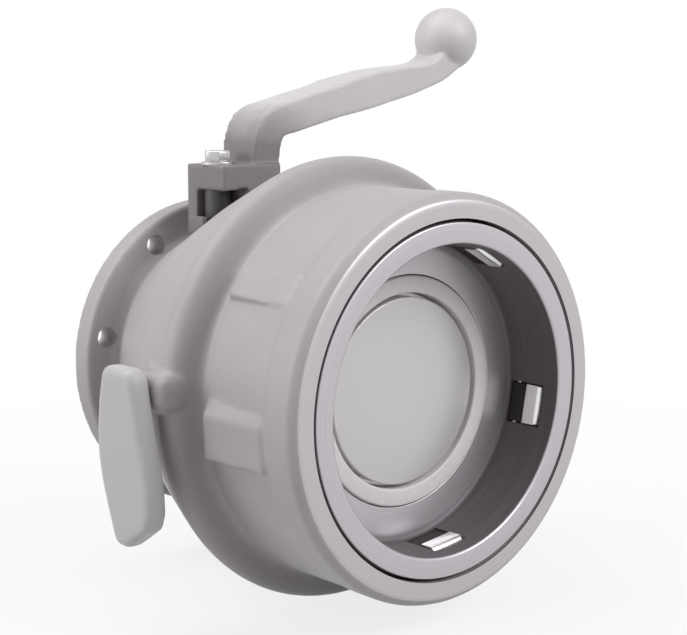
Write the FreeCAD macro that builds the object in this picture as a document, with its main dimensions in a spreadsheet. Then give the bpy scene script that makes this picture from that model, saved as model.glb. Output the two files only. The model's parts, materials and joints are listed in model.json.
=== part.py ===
import FreeCAD, Part
import math
import os
from types import SimpleNamespace

import Sketcher

# A dry-break loading arm coupler. All lengths are millimetres and all angles are degrees.
# X runs forward along the coupler's axis from the rear flange's mating face to the mouth,
# Z runs up along the lever's shaft, and Y runs along the lever in its closed position.
# Every piece is modelled with the coupler closed.

SIZES = {
    # rear flange
    "flange_radius": 84.1,
    "flange_thickness": 13.9,
    "flange_bolt_circle": 149.2,
    "flange_hole_radius": 5.5,
    "flange_hole_count": 8,
    "flange_hole_angle": 33,
    "flange_edge": 1.2,
    # cast body
    "pipe_bore_radius": 51,
    "neck_radius": 66,
    "neck_fillet": 3,
    "shoulder_place": 80,
    "shoulder_radius": 97,
    "crest_setback": 21,
    "crest_radius": 111.2,
    "crest_round": 30,
    "brow_setback": 4,
    "brow_radius": 107,
    "brow_round": 5,
    "body_length": 138,
    "body_lip_radius": 100.5,
    "shoulder_wall": 18,
    "crest_wall": 11,
    "front_wall": 10,
    # coupling housing, the drum round the mouth
    "drum_length": 62,
    "drum_radius": 99,
    "drum_edge": 3.5,
    "drum_rear_chamfer": 2,
    "housing_bore_radius": 87,
    "housing_wall": 10,
    "spigot_radius": 61.9,
    "spigot_length": 14,
    "spigot_lip": 2,
    "seal_groove_play": 0.2,
    "pad_setback": 0.4,
    "pad_length": 41.6,
    "pad_root": 3,
    "pad_width": 22,
    "pad_height": 3.6,
    "upper_pad_angle": 54,
    "lower_pad_angle": 93,
    # mouth recess, latch carrier and fingers
    "mouth_radius": 75,
    "mouth_edge": 1.2,
    "recess_depth": 33.5,
    "floor_thickness": 6.5,
    "carrier_wall": 5.4,
    "carrier_step": 1,
    "carrier_rim_radius": 86,
    "carrier_rim_length": 10,
    "skirt_inner_radius": 62,
    "skirt_outer_radius": 76,
    "finger_count": 5,
    "finger_angle": 29,
    "finger_width": 20,
    "finger_side_gap": 0.8,
    "finger_tip_radius": 73.5,
    "pivot_radius": 77.2,
    "pivot_behind_mouth": 28.5,
    "pivot_pin_radius": 1.5,
    "pivot_pin_length": 27.6,
    "window_rear": 3.5,
    "finger_heel": 2.6,
    "finger_root_depth": 2.3,
    "finger_heel_height": 2.4,
    "finger_back_play": 0.35,
    "finger_back_flat": 5,
    "finger_ramp_place": 11,
    "finger_ramp_rise": 1.85,
    "finger_crown_place": 16.2,
    "finger_crown_rise": 4.55,
    "finger_nose_rise": 4.05,
    "finger_nose_gap": 1.4,
    "finger_hook_height": 2,
    "finger_hook_length": 1.4,
    "finger_throat_place": 8,
    "finger_root_place": 5.6,
    "finger_root_height": 1.6,
    "finger_root_front": 3,
    # locking sleeve, its rods and its yoke
    "sleeve_inner_radius": 81,
    "sleeve_outer_radius": 86.7,
    "sleeve_length": 26,
    "sleeve_gap": 2,
    "sleeve_mouth_wall": 3.3,
    "sleeve_mouth_length": 3,
    "rod_circle_radius": 83.9,
    "rod_radius": 2.5,
    "rod_count": 3,
    "rod_angle": 65,
    "yoke_ring_inner_radius": 79,
    "yoke_ring_outer_radius": 89,
    "yoke_ring_thickness": 6,
    "yoke_setback": 33,
    "yoke_bar_width": 12,
    "yoke_bar_height": 7,
    "yoke_slot_play": 0.35,
    "yoke_eye_wall": 4,
    "yoke_drop": 2,
    # nose seal and poppet seat
    "seat_bore_radius": 43,
    "seat_outer_radius": 48.4,
    "seat_bevel": 3,
    "seal_outer_radius": 57.3,
    "seal_flange_radius": 61.4,
    "seal_carrier_length": 8.5,
    "face_seal_length": 6.3,
    "face_seal_edge": 0.5,
    "face_seal_proud": 1.3,
    "seal_stroke": 3,
    "nose_spring_radius": 53,
    "nose_spring_width": 2.4,
    "nose_spring_turns": 4,
    "nose_spring_nick": 0.3,
    "spring_groove_depth": 5,
    "spring_groove_side": 1.6,
    # poppet, stem and crosshead
    "poppet_radius": 46.5,
    "poppet_depth": 34,
    "poppet_thickness": 8,
    "poppet_step": 2.5,
    "poppet_skirt": 1,
    "poppet_boss_radius": 14,
    "poppet_boss_length": 8,
    "poppet_boss_taper": 2,
    "poppet_edge": 0.6,
    "stem_root": 3.5,
    "poppet_seal_wire": 1.45,
    "stem_radius": 8,
    "stem_tail_radius": 6,
    "stem_nut_flats": 19,
    "stem_nut_length": 7,
    "guide_length": 10,
    "guide_hub_radius": 13,
    "guide_leg_width": 5,
    "guide_rim": 3.4,
    "guide_leg_inset": 1,
    "guide_leg_count": 3,
    "crosshead_thickness": 13,
    "crosshead_rail": 6,
    "crosshead_boss_radius": 11,
    "crosshead_boss_length": 13,
    "crosshead_neck_length": 3.5,
    "crosshead_neck_radius": 6.5,
    "crosshead_end_wall": 4,
    "crosshead_end_play": 0.8,
    "crosshead_inset": 2,
    # lever shaft, crank and slide block
    "shaft_place": 44,
    "shaft_offset": 21,
    "shaft_radius": 7,
    "shaft_bottom": 13,
    "shaft_square": 10,
    "bush_radius": 9.5,
    "bush_length": 9,
    "boss_radius": 14.5,
    "boss_bottom": 44,
    "boss_top": 74,
    "sweep_radius": 23.5,
    "gland_radius": 11,
    "gland_length": 5.8,
    "gland_seat_depth": 8.5,
    "gland_inset": 0.2,
    "spanner_hole_radius": 0.9,
    "stop_width_back": 7.6,
    "stop_width_front": 5.6,
    "stop_height": 5.5,
    "stop_rear_gap": 0.2,
    "stop_front_gap": 0.6,
    "shaft_seal_wire": 1.2,
    "crank_radius": 27,
    "crank_angle": 135,
    "crank_hub_radius": 11,
    "crank_end_radius": 8,
    "crank_arm_width": 14,
    "crank_top": 7,
    "crank_thickness": 11,
    "crank_pin_radius": 4.5,
    "crank_pin_top": 6.8,
    "crank_dowel_radius": 2,
    "crank_dowel_drop": 10,
    "crank_pin_floor": 2,
    "crank_dowel_inset": 0.5,
    "shift_pin_throw": 8.5,
    "shift_pin_radius": 4,
    "shift_pin_length": 10,
    "block_side": 14,
    "block_height": 12,
    "block_play": 0.95,
    # operating lever
    "hub_half_width": 16,
    "hub_front": 8,
    "hub_back": 28.5,
    "hub_bottom": 93.2,
    "hub_top": 106,
    "hub_relief": 2.5,
    "hub_relief_start": 14,
    "leg_bottom": 75,
    "leg_rear_inside": 8,
    "leg_side_inside": 7.6,
    "leg_side_outside": 14,
    "arm_edge": 3.5,
    "lever_reach": 169,
    "ball_height": 173.6,
    "ball_radius": 18.4,
    "washer_radius": 9,
    "washer_thickness": 1.8,
    "bolt_flats": 13,
    "bolt_head": 5.5,
    "bolt_radius": 4,
    "bolt_length": 18,
    "washer_play": 0.2,
    "shaft_end_gap": 0.5,
    # hand grips
    "lug_length": 29,
    "lug_setback": 12,
    "lug_bottom": 3,
    "lug_top": 20,
    "lug_reach": 118,
    "grip_thickness": 12,
    "grip_top_rear": 22,
    "grip_top_front": 17,
    "grip_top": 20,
    "grip_top_slope": 2,
    "grip_side_rear": 26,
    "grip_side_height": -21,
    "grip_low_front": 26.5,
    "grip_low_height": -47,
    "grip_foot_front": 1.5,
    "grip_foot_rear": 13.5,
    "grip_foot": -66,
    "grip_corner": 7,
    "grip_edge": 4.5,
    "stud_radius": 4,
    "stud_depth": 9,
    "grip_stud_depth": 7,
    # hidden fasteners and fits
    "carrier_screw_circle": 69,
    "carrier_screw_radius": 3,
    "carrier_screw_head": 5,
    "carrier_screw_head_length": 4.6,
    "carrier_screw_reach": 8,
    "housing_screw_circle": 81.5,
    "housing_screw_radius": 3,
    "housing_screw_head": 4.6,
    "housing_screw_recess": 4.8,
    "housing_screw_reach": 8,
    "housing_screw_count": 3,
    "housing_screw_angle": 5,
    "housing_seal_wire": 0.85,
    "running_gap": 0.05,
    "seal_gap": 0.07,
    "loose_gap": 0.3,
    # how far a cut runs past the wall that it goes through
    "cut_over": 1,
}

document = FreeCAD.newDocument("coupler")
sheet = document.addObject("Spreadsheet::Sheet", "sizes")
for row, (word, number) in enumerate(SIZES.items(), start=1):
    sheet.set("A%d" % row, word)
    sheet.set("B%d" % row, str(number))
    sheet.setAlias("B%d" % row, word)
document.recompute()


class Size:
    """A number together with the sheet formula that it comes from."""

    def __init__(self, value, text):
        self.value = value
        self.text = text

    def joined(self, other, sign, value):
        return Size(value, "(%s %s %s)" % (self.text, sign, other.text))

    def __add__(self, other):
        other = as_size(other)
        return self.joined(other, "+", self.value + other.value)

    def __radd__(self, other):
        return as_size(other) + self

    def __sub__(self, other):
        other = as_size(other)
        return self.joined(other, "-", self.value - other.value)

    def __rsub__(self, other):
        return as_size(other) - self

    def __mul__(self, other):
        other = as_size(other)
        return self.joined(other, "*", self.value * other.value)

    def __rmul__(self, other):
        return as_size(other) * self

    def __truediv__(self, other):
        other = as_size(other)
        return self.joined(other, "/", self.value / other.value)

    def __rtruediv__(self, other):
        return as_size(other) / self

    def __neg__(self):
        return 0 - self


def as_size(item):
    if isinstance(item, Size):
        return item
    return Size(float(item), "%.6f" % item)


def least(one, other):
    """The smaller of two sizes."""
    return Size(min(one.value, other.value), "min(%s; %s)" % (one.text, other.text))


def cosine(angle):
    angle = as_size(angle)
    return Size(math.cos(math.radians(angle.value)), "cos(%s)" % angle.text)


def sine(angle):
    angle = as_size(angle)
    return Size(math.sin(math.radians(angle.value)), "sin(%s)" % angle.text)


size = SimpleNamespace(**{word: Size(number, "sizes." + word) for word, number in SIZES.items()})

SUBPARTS = []
X_AXIS = FreeCAD.Vector(1, 0, 0)
Y_AXIS = FreeCAD.Vector(0, 1, 0)


def bind(thing, slot, amount):
    thing.setExpression(slot, as_size(amount).text)


def new_body(label):
    body = document.addObject("PartDesign::Body", label)
    body.Label = label
    body.AllowCompound = True
    SUBPARTS.append(body)
    return body


def datum(body, role):
    return [item for item in body.Origin.OriginFeatures if item.Role == role][0]


def new_sketch(body, plane, lift=0, tilt=0):
    """A sketch on one of the body's planes, tilted about X and then lifted along its own normal."""
    sketch = body.newObject("Sketcher::SketchObject", body.Label + "_sketch")
    sketch.AttachmentSupport = [(datum(body, plane), "")]
    sketch.MapMode = "FlatFace"
    sketch.AttachmentOffset = FreeCAD.Placement(FreeCAD.Vector(), FreeCAD.Rotation(X_AXIS, 0.001))
    bind(sketch, "AttachmentOffset.Rotation.Angle", tilt)
    bind(sketch, "AttachmentOffset.Base.y", -1 * (as_size(lift) * sine(tilt)))
    bind(sketch, "AttachmentOffset.Base.z", as_size(lift) * cosine(tilt))
    return sketch


def fix_point(sketch, geometry, end, across, up):
    """Ties one point of a sketch to its distances from the sketch's origin."""
    for kind, amount in (("DistanceX", as_size(across)), ("DistanceY", as_size(up))):
        index = sketch.addConstraint(Sketcher.Constraint(kind, -1, 1, geometry, end, amount.value))
        sketch.setExpression("Constraints[%d]" % index, amount.text)


def draw_outline(body, points, plane="XZ_Plane", lift=0, tilt=0):
    sketch = new_sketch(body, plane, lift, tilt)
    spots = [FreeCAD.Vector(as_size(across).value, as_size(up).value, 0) for across, up in points]
    count = len(spots)
    for index in range(count):
        sketch.addGeometry(Part.LineSegment(spots[index], spots[(index + 1) % count]), False)
    for index in range(count):
        sketch.addConstraint(Sketcher.Constraint("Coincident", index, 2, (index + 1) % count, 1))
    for index, (across, up) in enumerate(points):
        fix_point(sketch, index, 1, across, up)
    return sketch


def draw_circles(body, circles, plane="YZ_Plane", lift=0, tilt=0):
    sketch = new_sketch(body, plane, lift, tilt)
    for index, (across, up, radius) in enumerate(circles):
        centre = FreeCAD.Vector(as_size(across).value, as_size(up).value, 0)
        circle = Part.Circle(centre, FreeCAD.Vector(0, 0, 1), as_size(radius).value)
        sketch.addGeometry(circle, False)
        fix_point(sketch, index, 3, across, up)
        held = sketch.addConstraint(Sketcher.Constraint("Radius", index, as_size(radius).value))
        sketch.setExpression("Constraints[%d]" % held, as_size(radius).text)
    return sketch


def box_outline(low_across, low_up, high_across, high_up):
    return [(low_across, low_up), (high_across, low_up), (high_across, high_up), (low_across, high_up)]


def hexagon(flats, across=0, up=0):
    corner = as_size(flats) / math.sqrt(3)
    return [(across + corner * math.cos(math.radians(60 * step)),
             up + corner * math.sin(math.radians(60 * step))) for step in range(6)]


def turned(body, points, axis="H_Axis"):
    """A solid of revolution from an outline in the XZ plane, about X (H_Axis) or Z (V_Axis)."""
    sketch = draw_outline(body, points)
    feature = body.newObject("PartDesign::Revolution", body.Label + "_turned")
    feature.Profile = sketch
    feature.ReferenceAxis = (sketch, [axis])
    feature.Angle = 360
    return feature


def hollowed(body, points):
    """Turns an outline about X out of the body."""
    sketch = draw_outline(body, points)
    feature = body.newObject("PartDesign::Groove", body.Label + "_hollow")
    feature.Profile = sketch
    feature.ReferenceAxis = (sketch, ["H_Axis"])
    feature.Angle = 360
    document.recompute()
    return feature


def ring_section(place, radius, half):
    """A seal ring's section: eight sides, each as far from the middle as the ring is thick."""
    side = half * math.tan(math.radians(22.5))
    return [(place + half, radius + side), (place + side, radius + half),
            (place - side, radius + half), (place - half, radius + side),
            (place - half, radius - side), (place - side, radius - half),
            (place + side, radius - half), (place + half, radius - side)]


def swept(body, sketch, length, kind, both=False, flip=False):
    feature = body.newObject("PartDesign::" + kind, "%s_%s" % (body.Label, kind.lower()))
    feature.Profile = sketch
    bind(feature, "Length", length)
    feature.Midplane = both
    feature.Reversed = flip
    return feature


def pad(body, sketch, length, both=False, flip=False):
    return swept(body, sketch, length, "Pad", both, flip)


def pocket(body, sketch, length, both=False, flip=False):
    """Cuts against the sketch's normal, or along it when flipped."""
    return swept(body, sketch, length, "Pocket", both, flip)


def around(body, features, count):
    """Repeats features evenly about the coupler's axis."""
    document.recompute()
    pattern = body.newObject("PartDesign::PolarPattern", body.Label + "_pattern")
    pattern.Originals = features
    pattern.Axis = (datum(body, "X_Axis"), [""])
    pattern.Angle = 360
    bind(pattern, "Occurrences", count)
    body.Tip = pattern
    return pattern


def ring_edges(shape, spots, along="x"):
    """Names of the circular edges at the given (place along the axis, radius) pairs."""
    names = []
    for index, edge in enumerate(shape.Edges, start=1):
        if not isinstance(edge.Curve, Part.Circle):
            continue
        place = getattr(edge.Curve.Center, along)
        for spot, radius in spots:
            near_place = abs(place - as_size(spot).value) < 0.01
            if near_place and abs(edge.Curve.Radius - as_size(radius).value) < 0.01:
                names.append("Edge%d" % index)
    return names


def round_edges(body, names, radius, kind="Fillet"):
    """Rounds or chamfers the named edges of the body's last feature."""
    tip = body.Tip
    feature = body.newObject("PartDesign::" + kind, "%s_%s" % (body.Label, kind.lower()))
    feature.Base = (tip, names)
    bind(feature, "Radius" if kind == "Fillet" else "Size", radius)
    document.recompute()
    return feature


def place(body, across=0, aside=0, up=0, turn=0, axis=X_AXIS):
    body.Placement = FreeCAD.Placement(FreeCAD.Vector(), FreeCAD.Rotation(axis, 0.001))
    bind(body, "Placement.Base.x", across)
    bind(body, "Placement.Base.y", aside)
    bind(body, "Placement.Base.z", up)
    bind(body, "Placement.Rotation.Angle", turn)


def at_shaft(body):
    place(body, size.shaft_place, -size.shaft_offset)


def at_angle(radius, angle):
    """Y and Z of a point at an angle from +Z towards +Y."""
    return radius * sine(angle), radius * cosine(angle)


# Places along the axis that several pieces share.
crest_place = size.body_length - size.crest_setback
brow_place = size.body_length - size.brow_setback
mouth_place = size.body_length + size.drum_length
poppet_face = mouth_place - size.poppet_depth
yoke_ring_place = size.body_length - size.yoke_setback
lug_front = size.body_length - size.lug_setback
lug_middle = lug_front - size.lug_length / 2
housing_front_of_wall = size.body_length + size.housing_wall
spigot_rear = size.body_length - size.spigot_length
front_wall_rear = size.body_length - size.front_wall
seat_rear = spigot_rear + size.spigot_lip + size.guide_length
floor_front = mouth_place - size.recess_depth
floor_rear = floor_front - size.floor_thickness
rim_rear = mouth_place - size.carrier_rim_length
pivot_place = mouth_place - size.pivot_behind_mouth
sleeve_rear = housing_front_of_wall + size.sleeve_gap
sleeve_front = sleeve_rear + size.sleeve_length
carrier_outer = size.mouth_radius + size.carrier_wall
face_seal_rear = poppet_face + size.face_seal_proud - size.face_seal_length
poppet_rear = poppet_face - size.poppet_thickness
poppet_boss_rear = poppet_rear - size.poppet_boss_length
poppet_seal_place = poppet_rear + size.poppet_step - size.poppet_seal_wire
poppet_seal_inner = size.seat_bore_radius - size.poppet_skirt + size.running_gap
poppet_seal_radius = poppet_seal_inner + size.poppet_seal_wire
guide_bore_radius = size.seat_outer_radius - size.guide_rim
pin_across = size.crank_radius * cosine(size.crank_angle)
pin_aside = size.crank_radius * sine(size.crank_angle)
pin_place = size.shaft_place + pin_across
crosshead_front = pin_place + size.block_side / 2 + size.block_play + size.crosshead_rail
pin_offset = pin_aside - size.shaft_offset
crank_bottom = size.crank_top + size.crank_thickness
pin_bottom = size.crank_pin_floor - crank_bottom
bush_bore_top = size.boss_top - size.gland_seat_depth
lug_centre = (lug_middle, (size.lug_bottom + size.lug_top) / 2)


def rod_holes(body, start, depth):
    """Holes for the push rods, cut back from a plane across the axis."""
    aside, up = at_angle(size.rod_circle_radius, size.rod_angle)
    circles = [(aside, up, size.rod_radius + size.running_gap)]
    hole = pocket(body, draw_circles(body, circles, lift=start), depth)
    around(body, [hole], size.rod_count)


def make_main_body():
    body = new_body("main_body")
    turned(body, [
        (0, 0),
        (0, size.flange_radius),
        (size.flange_thickness, size.flange_radius),
        (size.flange_thickness, size.neck_radius),
        (size.shoulder_place, size.shoulder_radius),
        (crest_place, size.crest_radius),
        (brow_place, size.brow_radius),
        (size.body_length, size.body_lip_radius),
        (size.body_length, 0),
    ])
    document.recompute()
    flange_rings = [(0, size.flange_radius), (size.flange_thickness, size.flange_radius)]
    round_edges(body, ring_edges(body.Shape, flange_rings), size.flange_edge, "Chamfer")
    neck_ring = [(size.flange_thickness, size.neck_radius)]
    round_edges(body, ring_edges(body.Shape, neck_ring), size.neck_fillet, "Chamfer")
    crest_ring = [(crest_place, size.crest_radius)]
    round_edges(body, ring_edges(body.Shape, crest_ring), size.crest_round)
    brow_ring = [(brow_place, size.brow_radius)]
    round_edges(body, ring_edges(body.Shape, brow_ring), size.brow_round)
    lugs = box_outline(lug_front - size.lug_length, size.lug_bottom, lug_front, size.lug_top)
    pad(body, draw_outline(body, lugs), 2 * size.lug_reach, both=True)
    hollowed(body, [
        (-size.cut_over, 0),
        (-size.cut_over, size.pipe_bore_radius),
        (size.flange_thickness, size.pipe_bore_radius),
        (size.shoulder_place, size.shoulder_radius - size.shoulder_wall),
        (crest_place - size.crest_wall / 2, size.crest_radius - size.crest_wall),
        (front_wall_rear, size.brow_radius - size.crest_wall),
        (front_wall_rear, size.spigot_radius + size.running_gap),
        (size.body_length + size.cut_over, size.spigot_radius + size.running_gap),
        (size.body_length + size.cut_over, 0),
    ])
    shaft_spot = (size.shaft_place, -size.shaft_offset)
    boss = draw_circles(body, [(*shaft_spot, size.boss_radius)], "XY_Plane", size.boss_bottom)
    pad(body, boss, size.boss_top - size.boss_bottom)
    stop = box_outline(size.shaft_place - size.stop_width_back,
                       -size.shaft_offset - size.boss_radius + size.stop_rear_gap,
                       size.shaft_place + size.stop_width_front,
                       -size.shaft_offset - size.gland_radius - size.stop_front_gap)
    sweep = draw_circles(body, [(*shaft_spot, size.sweep_radius)], "XY_Plane", size.boss_top)
    pocket(body, sweep, size.hub_top - size.boss_top + size.hub_relief, flip=True)
    stop_sketch = draw_outline(body, stop, "XY_Plane", size.boss_top - size.stop_height)
    pad(body, stop_sketch, 2 * size.stop_height)
    bore = draw_circles(body, [(*shaft_spot, size.bush_radius)], "XY_Plane", size.boss_top)
    pocket(body, bore, size.boss_top - size.boss_bottom + size.cut_over)
    gland = draw_circles(body, [(*shaft_spot, size.gland_radius)], "XY_Plane", size.boss_top)
    pocket(body, gland, size.gland_seat_depth)
    aside, up = at_angle(size.flange_bolt_circle / 2, -size.flange_hole_angle)
    hole = draw_circles(body, [(aside, up, size.flange_hole_radius)])
    drilled = pocket(body, hole, size.flange_thickness + size.cut_over, flip=True)
    around(body, [drilled], size.flange_hole_count)
    rod_holes(body, size.body_length, size.front_wall + size.cut_over)
    aside, up = at_angle(size.housing_screw_circle, size.housing_screw_angle)
    tapped = draw_circles(body, [(aside, up, size.housing_screw_radius)], lift=size.body_length)
    drilled = pocket(body, tapped, size.housing_screw_reach + size.loose_gap)
    around(body, [drilled], size.housing_screw_count)
    for side in (1, -1):
        stud = draw_circles(body, [(*lug_centre, size.stud_radius)], "XZ_Plane", side * size.lug_reach)
        pocket(body, stud, size.stud_depth + size.loose_gap, flip=side < 0)


def make_coupling_housing():
    body = new_body("coupling_housing")
    seal_place = size.body_length - size.front_wall / 2
    groove_floor = size.spigot_radius - 2 * size.housing_seal_wire - size.running_gap
    groove_length = 2 * size.housing_seal_wire + size.seal_groove_play
    edge = least(size.drum_edge, (size.drum_radius - size.housing_bore_radius) / 2)
    edge_middle = edge - edge * sine(45)
    turned(body, [
        (spigot_rear, guide_bore_radius),
        (spigot_rear, size.spigot_radius),
        (seal_place - groove_length, size.spigot_radius),
        (seal_place - groove_length, groove_floor),
        (seal_place, groove_floor),
        (seal_place, size.spigot_radius),
        (size.body_length, size.spigot_radius),
        (size.body_length, size.drum_radius - size.drum_rear_chamfer),
        (size.body_length + size.drum_rear_chamfer, size.drum_radius),
        (mouth_place - edge, size.drum_radius),
        (mouth_place - edge_middle, size.drum_radius - edge_middle),
        (mouth_place, size.drum_radius - edge),
        (mouth_place, size.housing_bore_radius),
        (housing_front_of_wall, size.housing_bore_radius),
        (housing_front_of_wall, size.seat_outer_radius + size.running_gap),
        (spigot_rear + size.spigot_lip, size.seat_outer_radius + size.running_gap),
        (spigot_rear + size.spigot_lip, guide_bore_radius),
    ])
    for angle in (size.upper_pad_angle, size.lower_pad_angle):
        half = size.pad_width / 2
        start = size.body_length + size.pad_setback
        outline = box_outline(start, -half, start + size.pad_length, half)
        root = size.drum_radius - size.pad_root
        raised = draw_outline(body, outline, "XY_Plane", root, angle)
        pad(body, raised, size.drum_radius + size.pad_height - root)
    rod_holes(body, housing_front_of_wall, size.housing_wall + size.cut_over)
    aside, up = at_angle(size.carrier_screw_circle, size.finger_angle + 180 / size.finger_count)
    shank = draw_circles(body, [(aside, up, size.carrier_screw_radius + size.loose_gap)],
                         lift=housing_front_of_wall)
    head = draw_circles(body, [(aside, up, size.carrier_screw_head + size.loose_gap)],
                        lift=size.body_length)
    holes = [pocket(body, shank, size.housing_wall + size.cut_over),
             pocket(body, head, size.carrier_screw_head_length + size.loose_gap, flip=True)]
    around(body, holes, size.finger_count)
    aside, up = at_angle(size.housing_screw_circle, size.housing_screw_angle)
    shank = draw_circles(body, [(aside, up, size.housing_screw_radius + size.loose_gap)],
                         lift=housing_front_of_wall)
    head = draw_circles(body, [(aside, up, size.housing_screw_head + size.loose_gap)],
                        lift=housing_front_of_wall)
    holes = [pocket(body, shank, size.housing_wall + size.cut_over),
             pocket(body, head, size.housing_screw_recess)]
    around(body, holes, size.housing_screw_count)


def make_carrier_plate():
    """The floor round the nose seal, on a skirt that stands on the housing's wall."""
    body = new_body("carrier_plate")
    turned(body, [
        (housing_front_of_wall, size.skirt_inner_radius),
        (housing_front_of_wall, size.skirt_outer_radius),
        (floor_front, size.skirt_outer_radius),
        (floor_front, size.seal_outer_radius + size.loose_gap),
        (floor_rear, size.seal_outer_radius + size.loose_gap),
        (floor_rear, size.skirt_inner_radius),
    ])
    aside, up = at_angle(size.carrier_screw_circle, as_size(180) / size.finger_count)
    tapped = draw_circles(body, [(aside, up, size.carrier_screw_radius)], lift=housing_front_of_wall)
    screw_hole = pocket(body, tapped, size.carrier_screw_reach + size.loose_gap, flip=True)
    around(body, [screw_hole], size.finger_count)
    place(body, turn=-size.finger_angle)


def make_latch_carrier():
    """The wall and rim round the mouth, whose inner step seats on the carrier's plate."""
    body = new_body("latch_carrier")
    turned(body, [
        (floor_rear + size.carrier_step, size.skirt_outer_radius + size.running_gap),
        (floor_rear + size.carrier_step, carrier_outer),
        (rim_rear, carrier_outer),
        (rim_rear, size.carrier_rim_radius),
        (mouth_place, size.carrier_rim_radius),
        (mouth_place, size.mouth_radius),
        (floor_front, size.mouth_radius),
        (floor_front, size.skirt_outer_radius + size.running_gap),
    ])
    document.recompute()
    rings = [(mouth_place, size.mouth_radius), (mouth_place, size.carrier_rim_radius)]
    round_edges(body, ring_edges(body.Shape, rings), size.mouth_edge, "Chamfer")
    half = size.finger_width / 2 + size.finger_side_gap
    outline = box_outline(pivot_place - size.window_rear, -half, rim_rear, half)
    window = pocket(body, draw_outline(body, outline, "XY_Plane"), size.carrier_rim_radius, flip=True)
    pin = draw_circles(body, [(pivot_place, size.pivot_radius, size.pivot_pin_radius)], "XZ_Plane")
    pin_hole = pocket(body, pin, size.pivot_pin_length + 2 * size.loose_gap, both=True)
    around(body, [window, pin_hole], size.finger_count)
    place(body, turn=-size.finger_angle)


def make_fingers():
    """Latch fingers: a pivoted plate whose back is a cam and whose front is a hooked tip."""
    back = carrier_outer - size.finger_back_play
    tip_place = rim_rear - size.finger_nose_gap
    root = size.pivot_radius - size.finger_root_depth
    points = [
        (pivot_place - size.finger_heel, root),
        (pivot_place - size.finger_heel, size.pivot_radius + size.finger_heel_height),
        (pivot_place, back),
        (pivot_place + size.finger_back_flat, back),
        (pivot_place + size.finger_ramp_place, back + size.finger_ramp_rise),
        (pivot_place + size.finger_crown_place, back + size.finger_crown_rise),
        (tip_place, back + size.finger_nose_rise),
        (tip_place, size.finger_tip_radius + size.finger_hook_height),
        (tip_place - size.finger_hook_length, size.finger_tip_radius),
        (pivot_place + size.finger_throat_place, size.finger_tip_radius),
        (pivot_place + size.finger_root_place, size.pivot_radius - size.finger_root_height),
        (pivot_place + size.finger_root_front, root),
    ]
    for number in range(1, int(SIZES["finger_count"]) + 1):
        body = new_body("latch_finger_%d" % number)
        pad(body, draw_outline(body, points), size.finger_width, both=True)
        bore = draw_circles(body, [(pivot_place, size.pivot_radius,
                                    size.pivot_pin_radius + size.running_gap)], "XZ_Plane")
        pocket(body, bore, size.finger_width + 2 * size.cut_over, both=True)
        place(body, turn=-(size.finger_angle + 360 * (number - 1) / size.finger_count))


def make_finger_pins():
    body = new_body("finger_pins")
    pin = draw_circles(body, [(pivot_place, size.pivot_radius, size.pivot_pin_radius)], "XZ_Plane")
    around(body, [pad(body, pin, size.pivot_pin_length, both=True)], size.finger_count)
    place(body, turn=-size.finger_angle)


def make_lock_sleeve():
    body = new_body("lock_sleeve")
    turned(body, [
        (sleeve_rear, size.sleeve_inner_radius),
        (sleeve_rear, size.sleeve_outer_radius),
        (sleeve_front, size.sleeve_outer_radius),
        (sleeve_front, size.sleeve_outer_radius - size.sleeve_mouth_wall),
        (sleeve_front - size.sleeve_mouth_length, size.sleeve_inner_radius),
    ])


def make_push_rods():
    body = new_body("push_rods")
    aside, up = at_angle(size.rod_circle_radius, size.rod_angle)
    start = yoke_ring_place + size.yoke_ring_thickness
    rod = draw_circles(body, [(aside, up, size.rod_radius)], lift=start)
    around(body, [pad(body, rod, sleeve_rear - start)], size.rod_count)


def make_shift_yoke():
    """The ring behind the push rods, with a spoke and a bar to the crank's lower pin."""
    body = new_body("shift_yoke")
    ring_front = yoke_ring_place + size.yoke_ring_thickness
    turned(body, [
        (yoke_ring_place, size.yoke_ring_inner_radius),
        (yoke_ring_place, size.yoke_ring_outer_radius),
        (ring_front, size.yoke_ring_outer_radius),
        (ring_front, size.yoke_ring_inner_radius),
    ])
    shift_across = size.shift_pin_throw * cosine(size.crank_angle) + size.shaft_place
    shift_aside = size.shift_pin_throw * sine(size.crank_angle) - size.shaft_offset
    top = crank_bottom + size.yoke_drop
    bottom = top + size.yoke_bar_height
    half = size.yoke_bar_width / 2
    middle = -size.shaft_offset + size.shift_pin_throw / 2
    bar = draw_outline(body, box_outline(shift_across + size.shift_pin_radius, middle - half,
                                          ring_front, middle + half),
                       "XY_Plane", -bottom)
    pad(body, bar, size.yoke_bar_height)
    spoke = draw_outline(body, box_outline(yoke_ring_place, -size.yoke_ring_inner_radius - size.cut_over,
                                           ring_front, middle + half), "XY_Plane", -bottom)
    pad(body, spoke, size.yoke_bar_height)
    reach = size.shift_pin_radius + size.yoke_slot_play
    wall = size.yoke_eye_wall
    slot_low = shift_aside - reach - size.cut_over
    slot_high = size.shift_pin_throw - size.shaft_offset + reach + size.cut_over
    eye = draw_outline(body, box_outline(shift_across - reach - wall, slot_low - wall,
                                         shift_across + reach + wall, slot_high + wall),
                       "XY_Plane", -bottom)
    pad(body, eye, size.yoke_bar_height)
    slot = draw_outline(body, box_outline(shift_across - reach, slot_low, shift_across + reach, slot_high),
                        "XY_Plane", -bottom)
    pocket(body, slot, size.yoke_bar_height + size.cut_over, flip=True)


def make_seat_ring():
    """The poppet's seat: a sleeve whose bevelled front just clears the poppet's seal."""
    body = new_body("seat_ring")
    off_bevel = math.sqrt(2) * (size.poppet_seal_wire + size.running_gap)
    bevel_rear = poppet_seal_place - (poppet_seal_radius - size.seat_bore_radius) - off_bevel
    front = bevel_rear + size.seat_bevel
    turned(body, [
        (seat_rear, size.seat_bore_radius),
        (seat_rear, size.seat_outer_radius),
        (front, size.seat_outer_radius),
        (front, size.seat_bore_radius + size.seat_bevel),
        (bevel_rear, size.seat_bore_radius),
    ])


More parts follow.
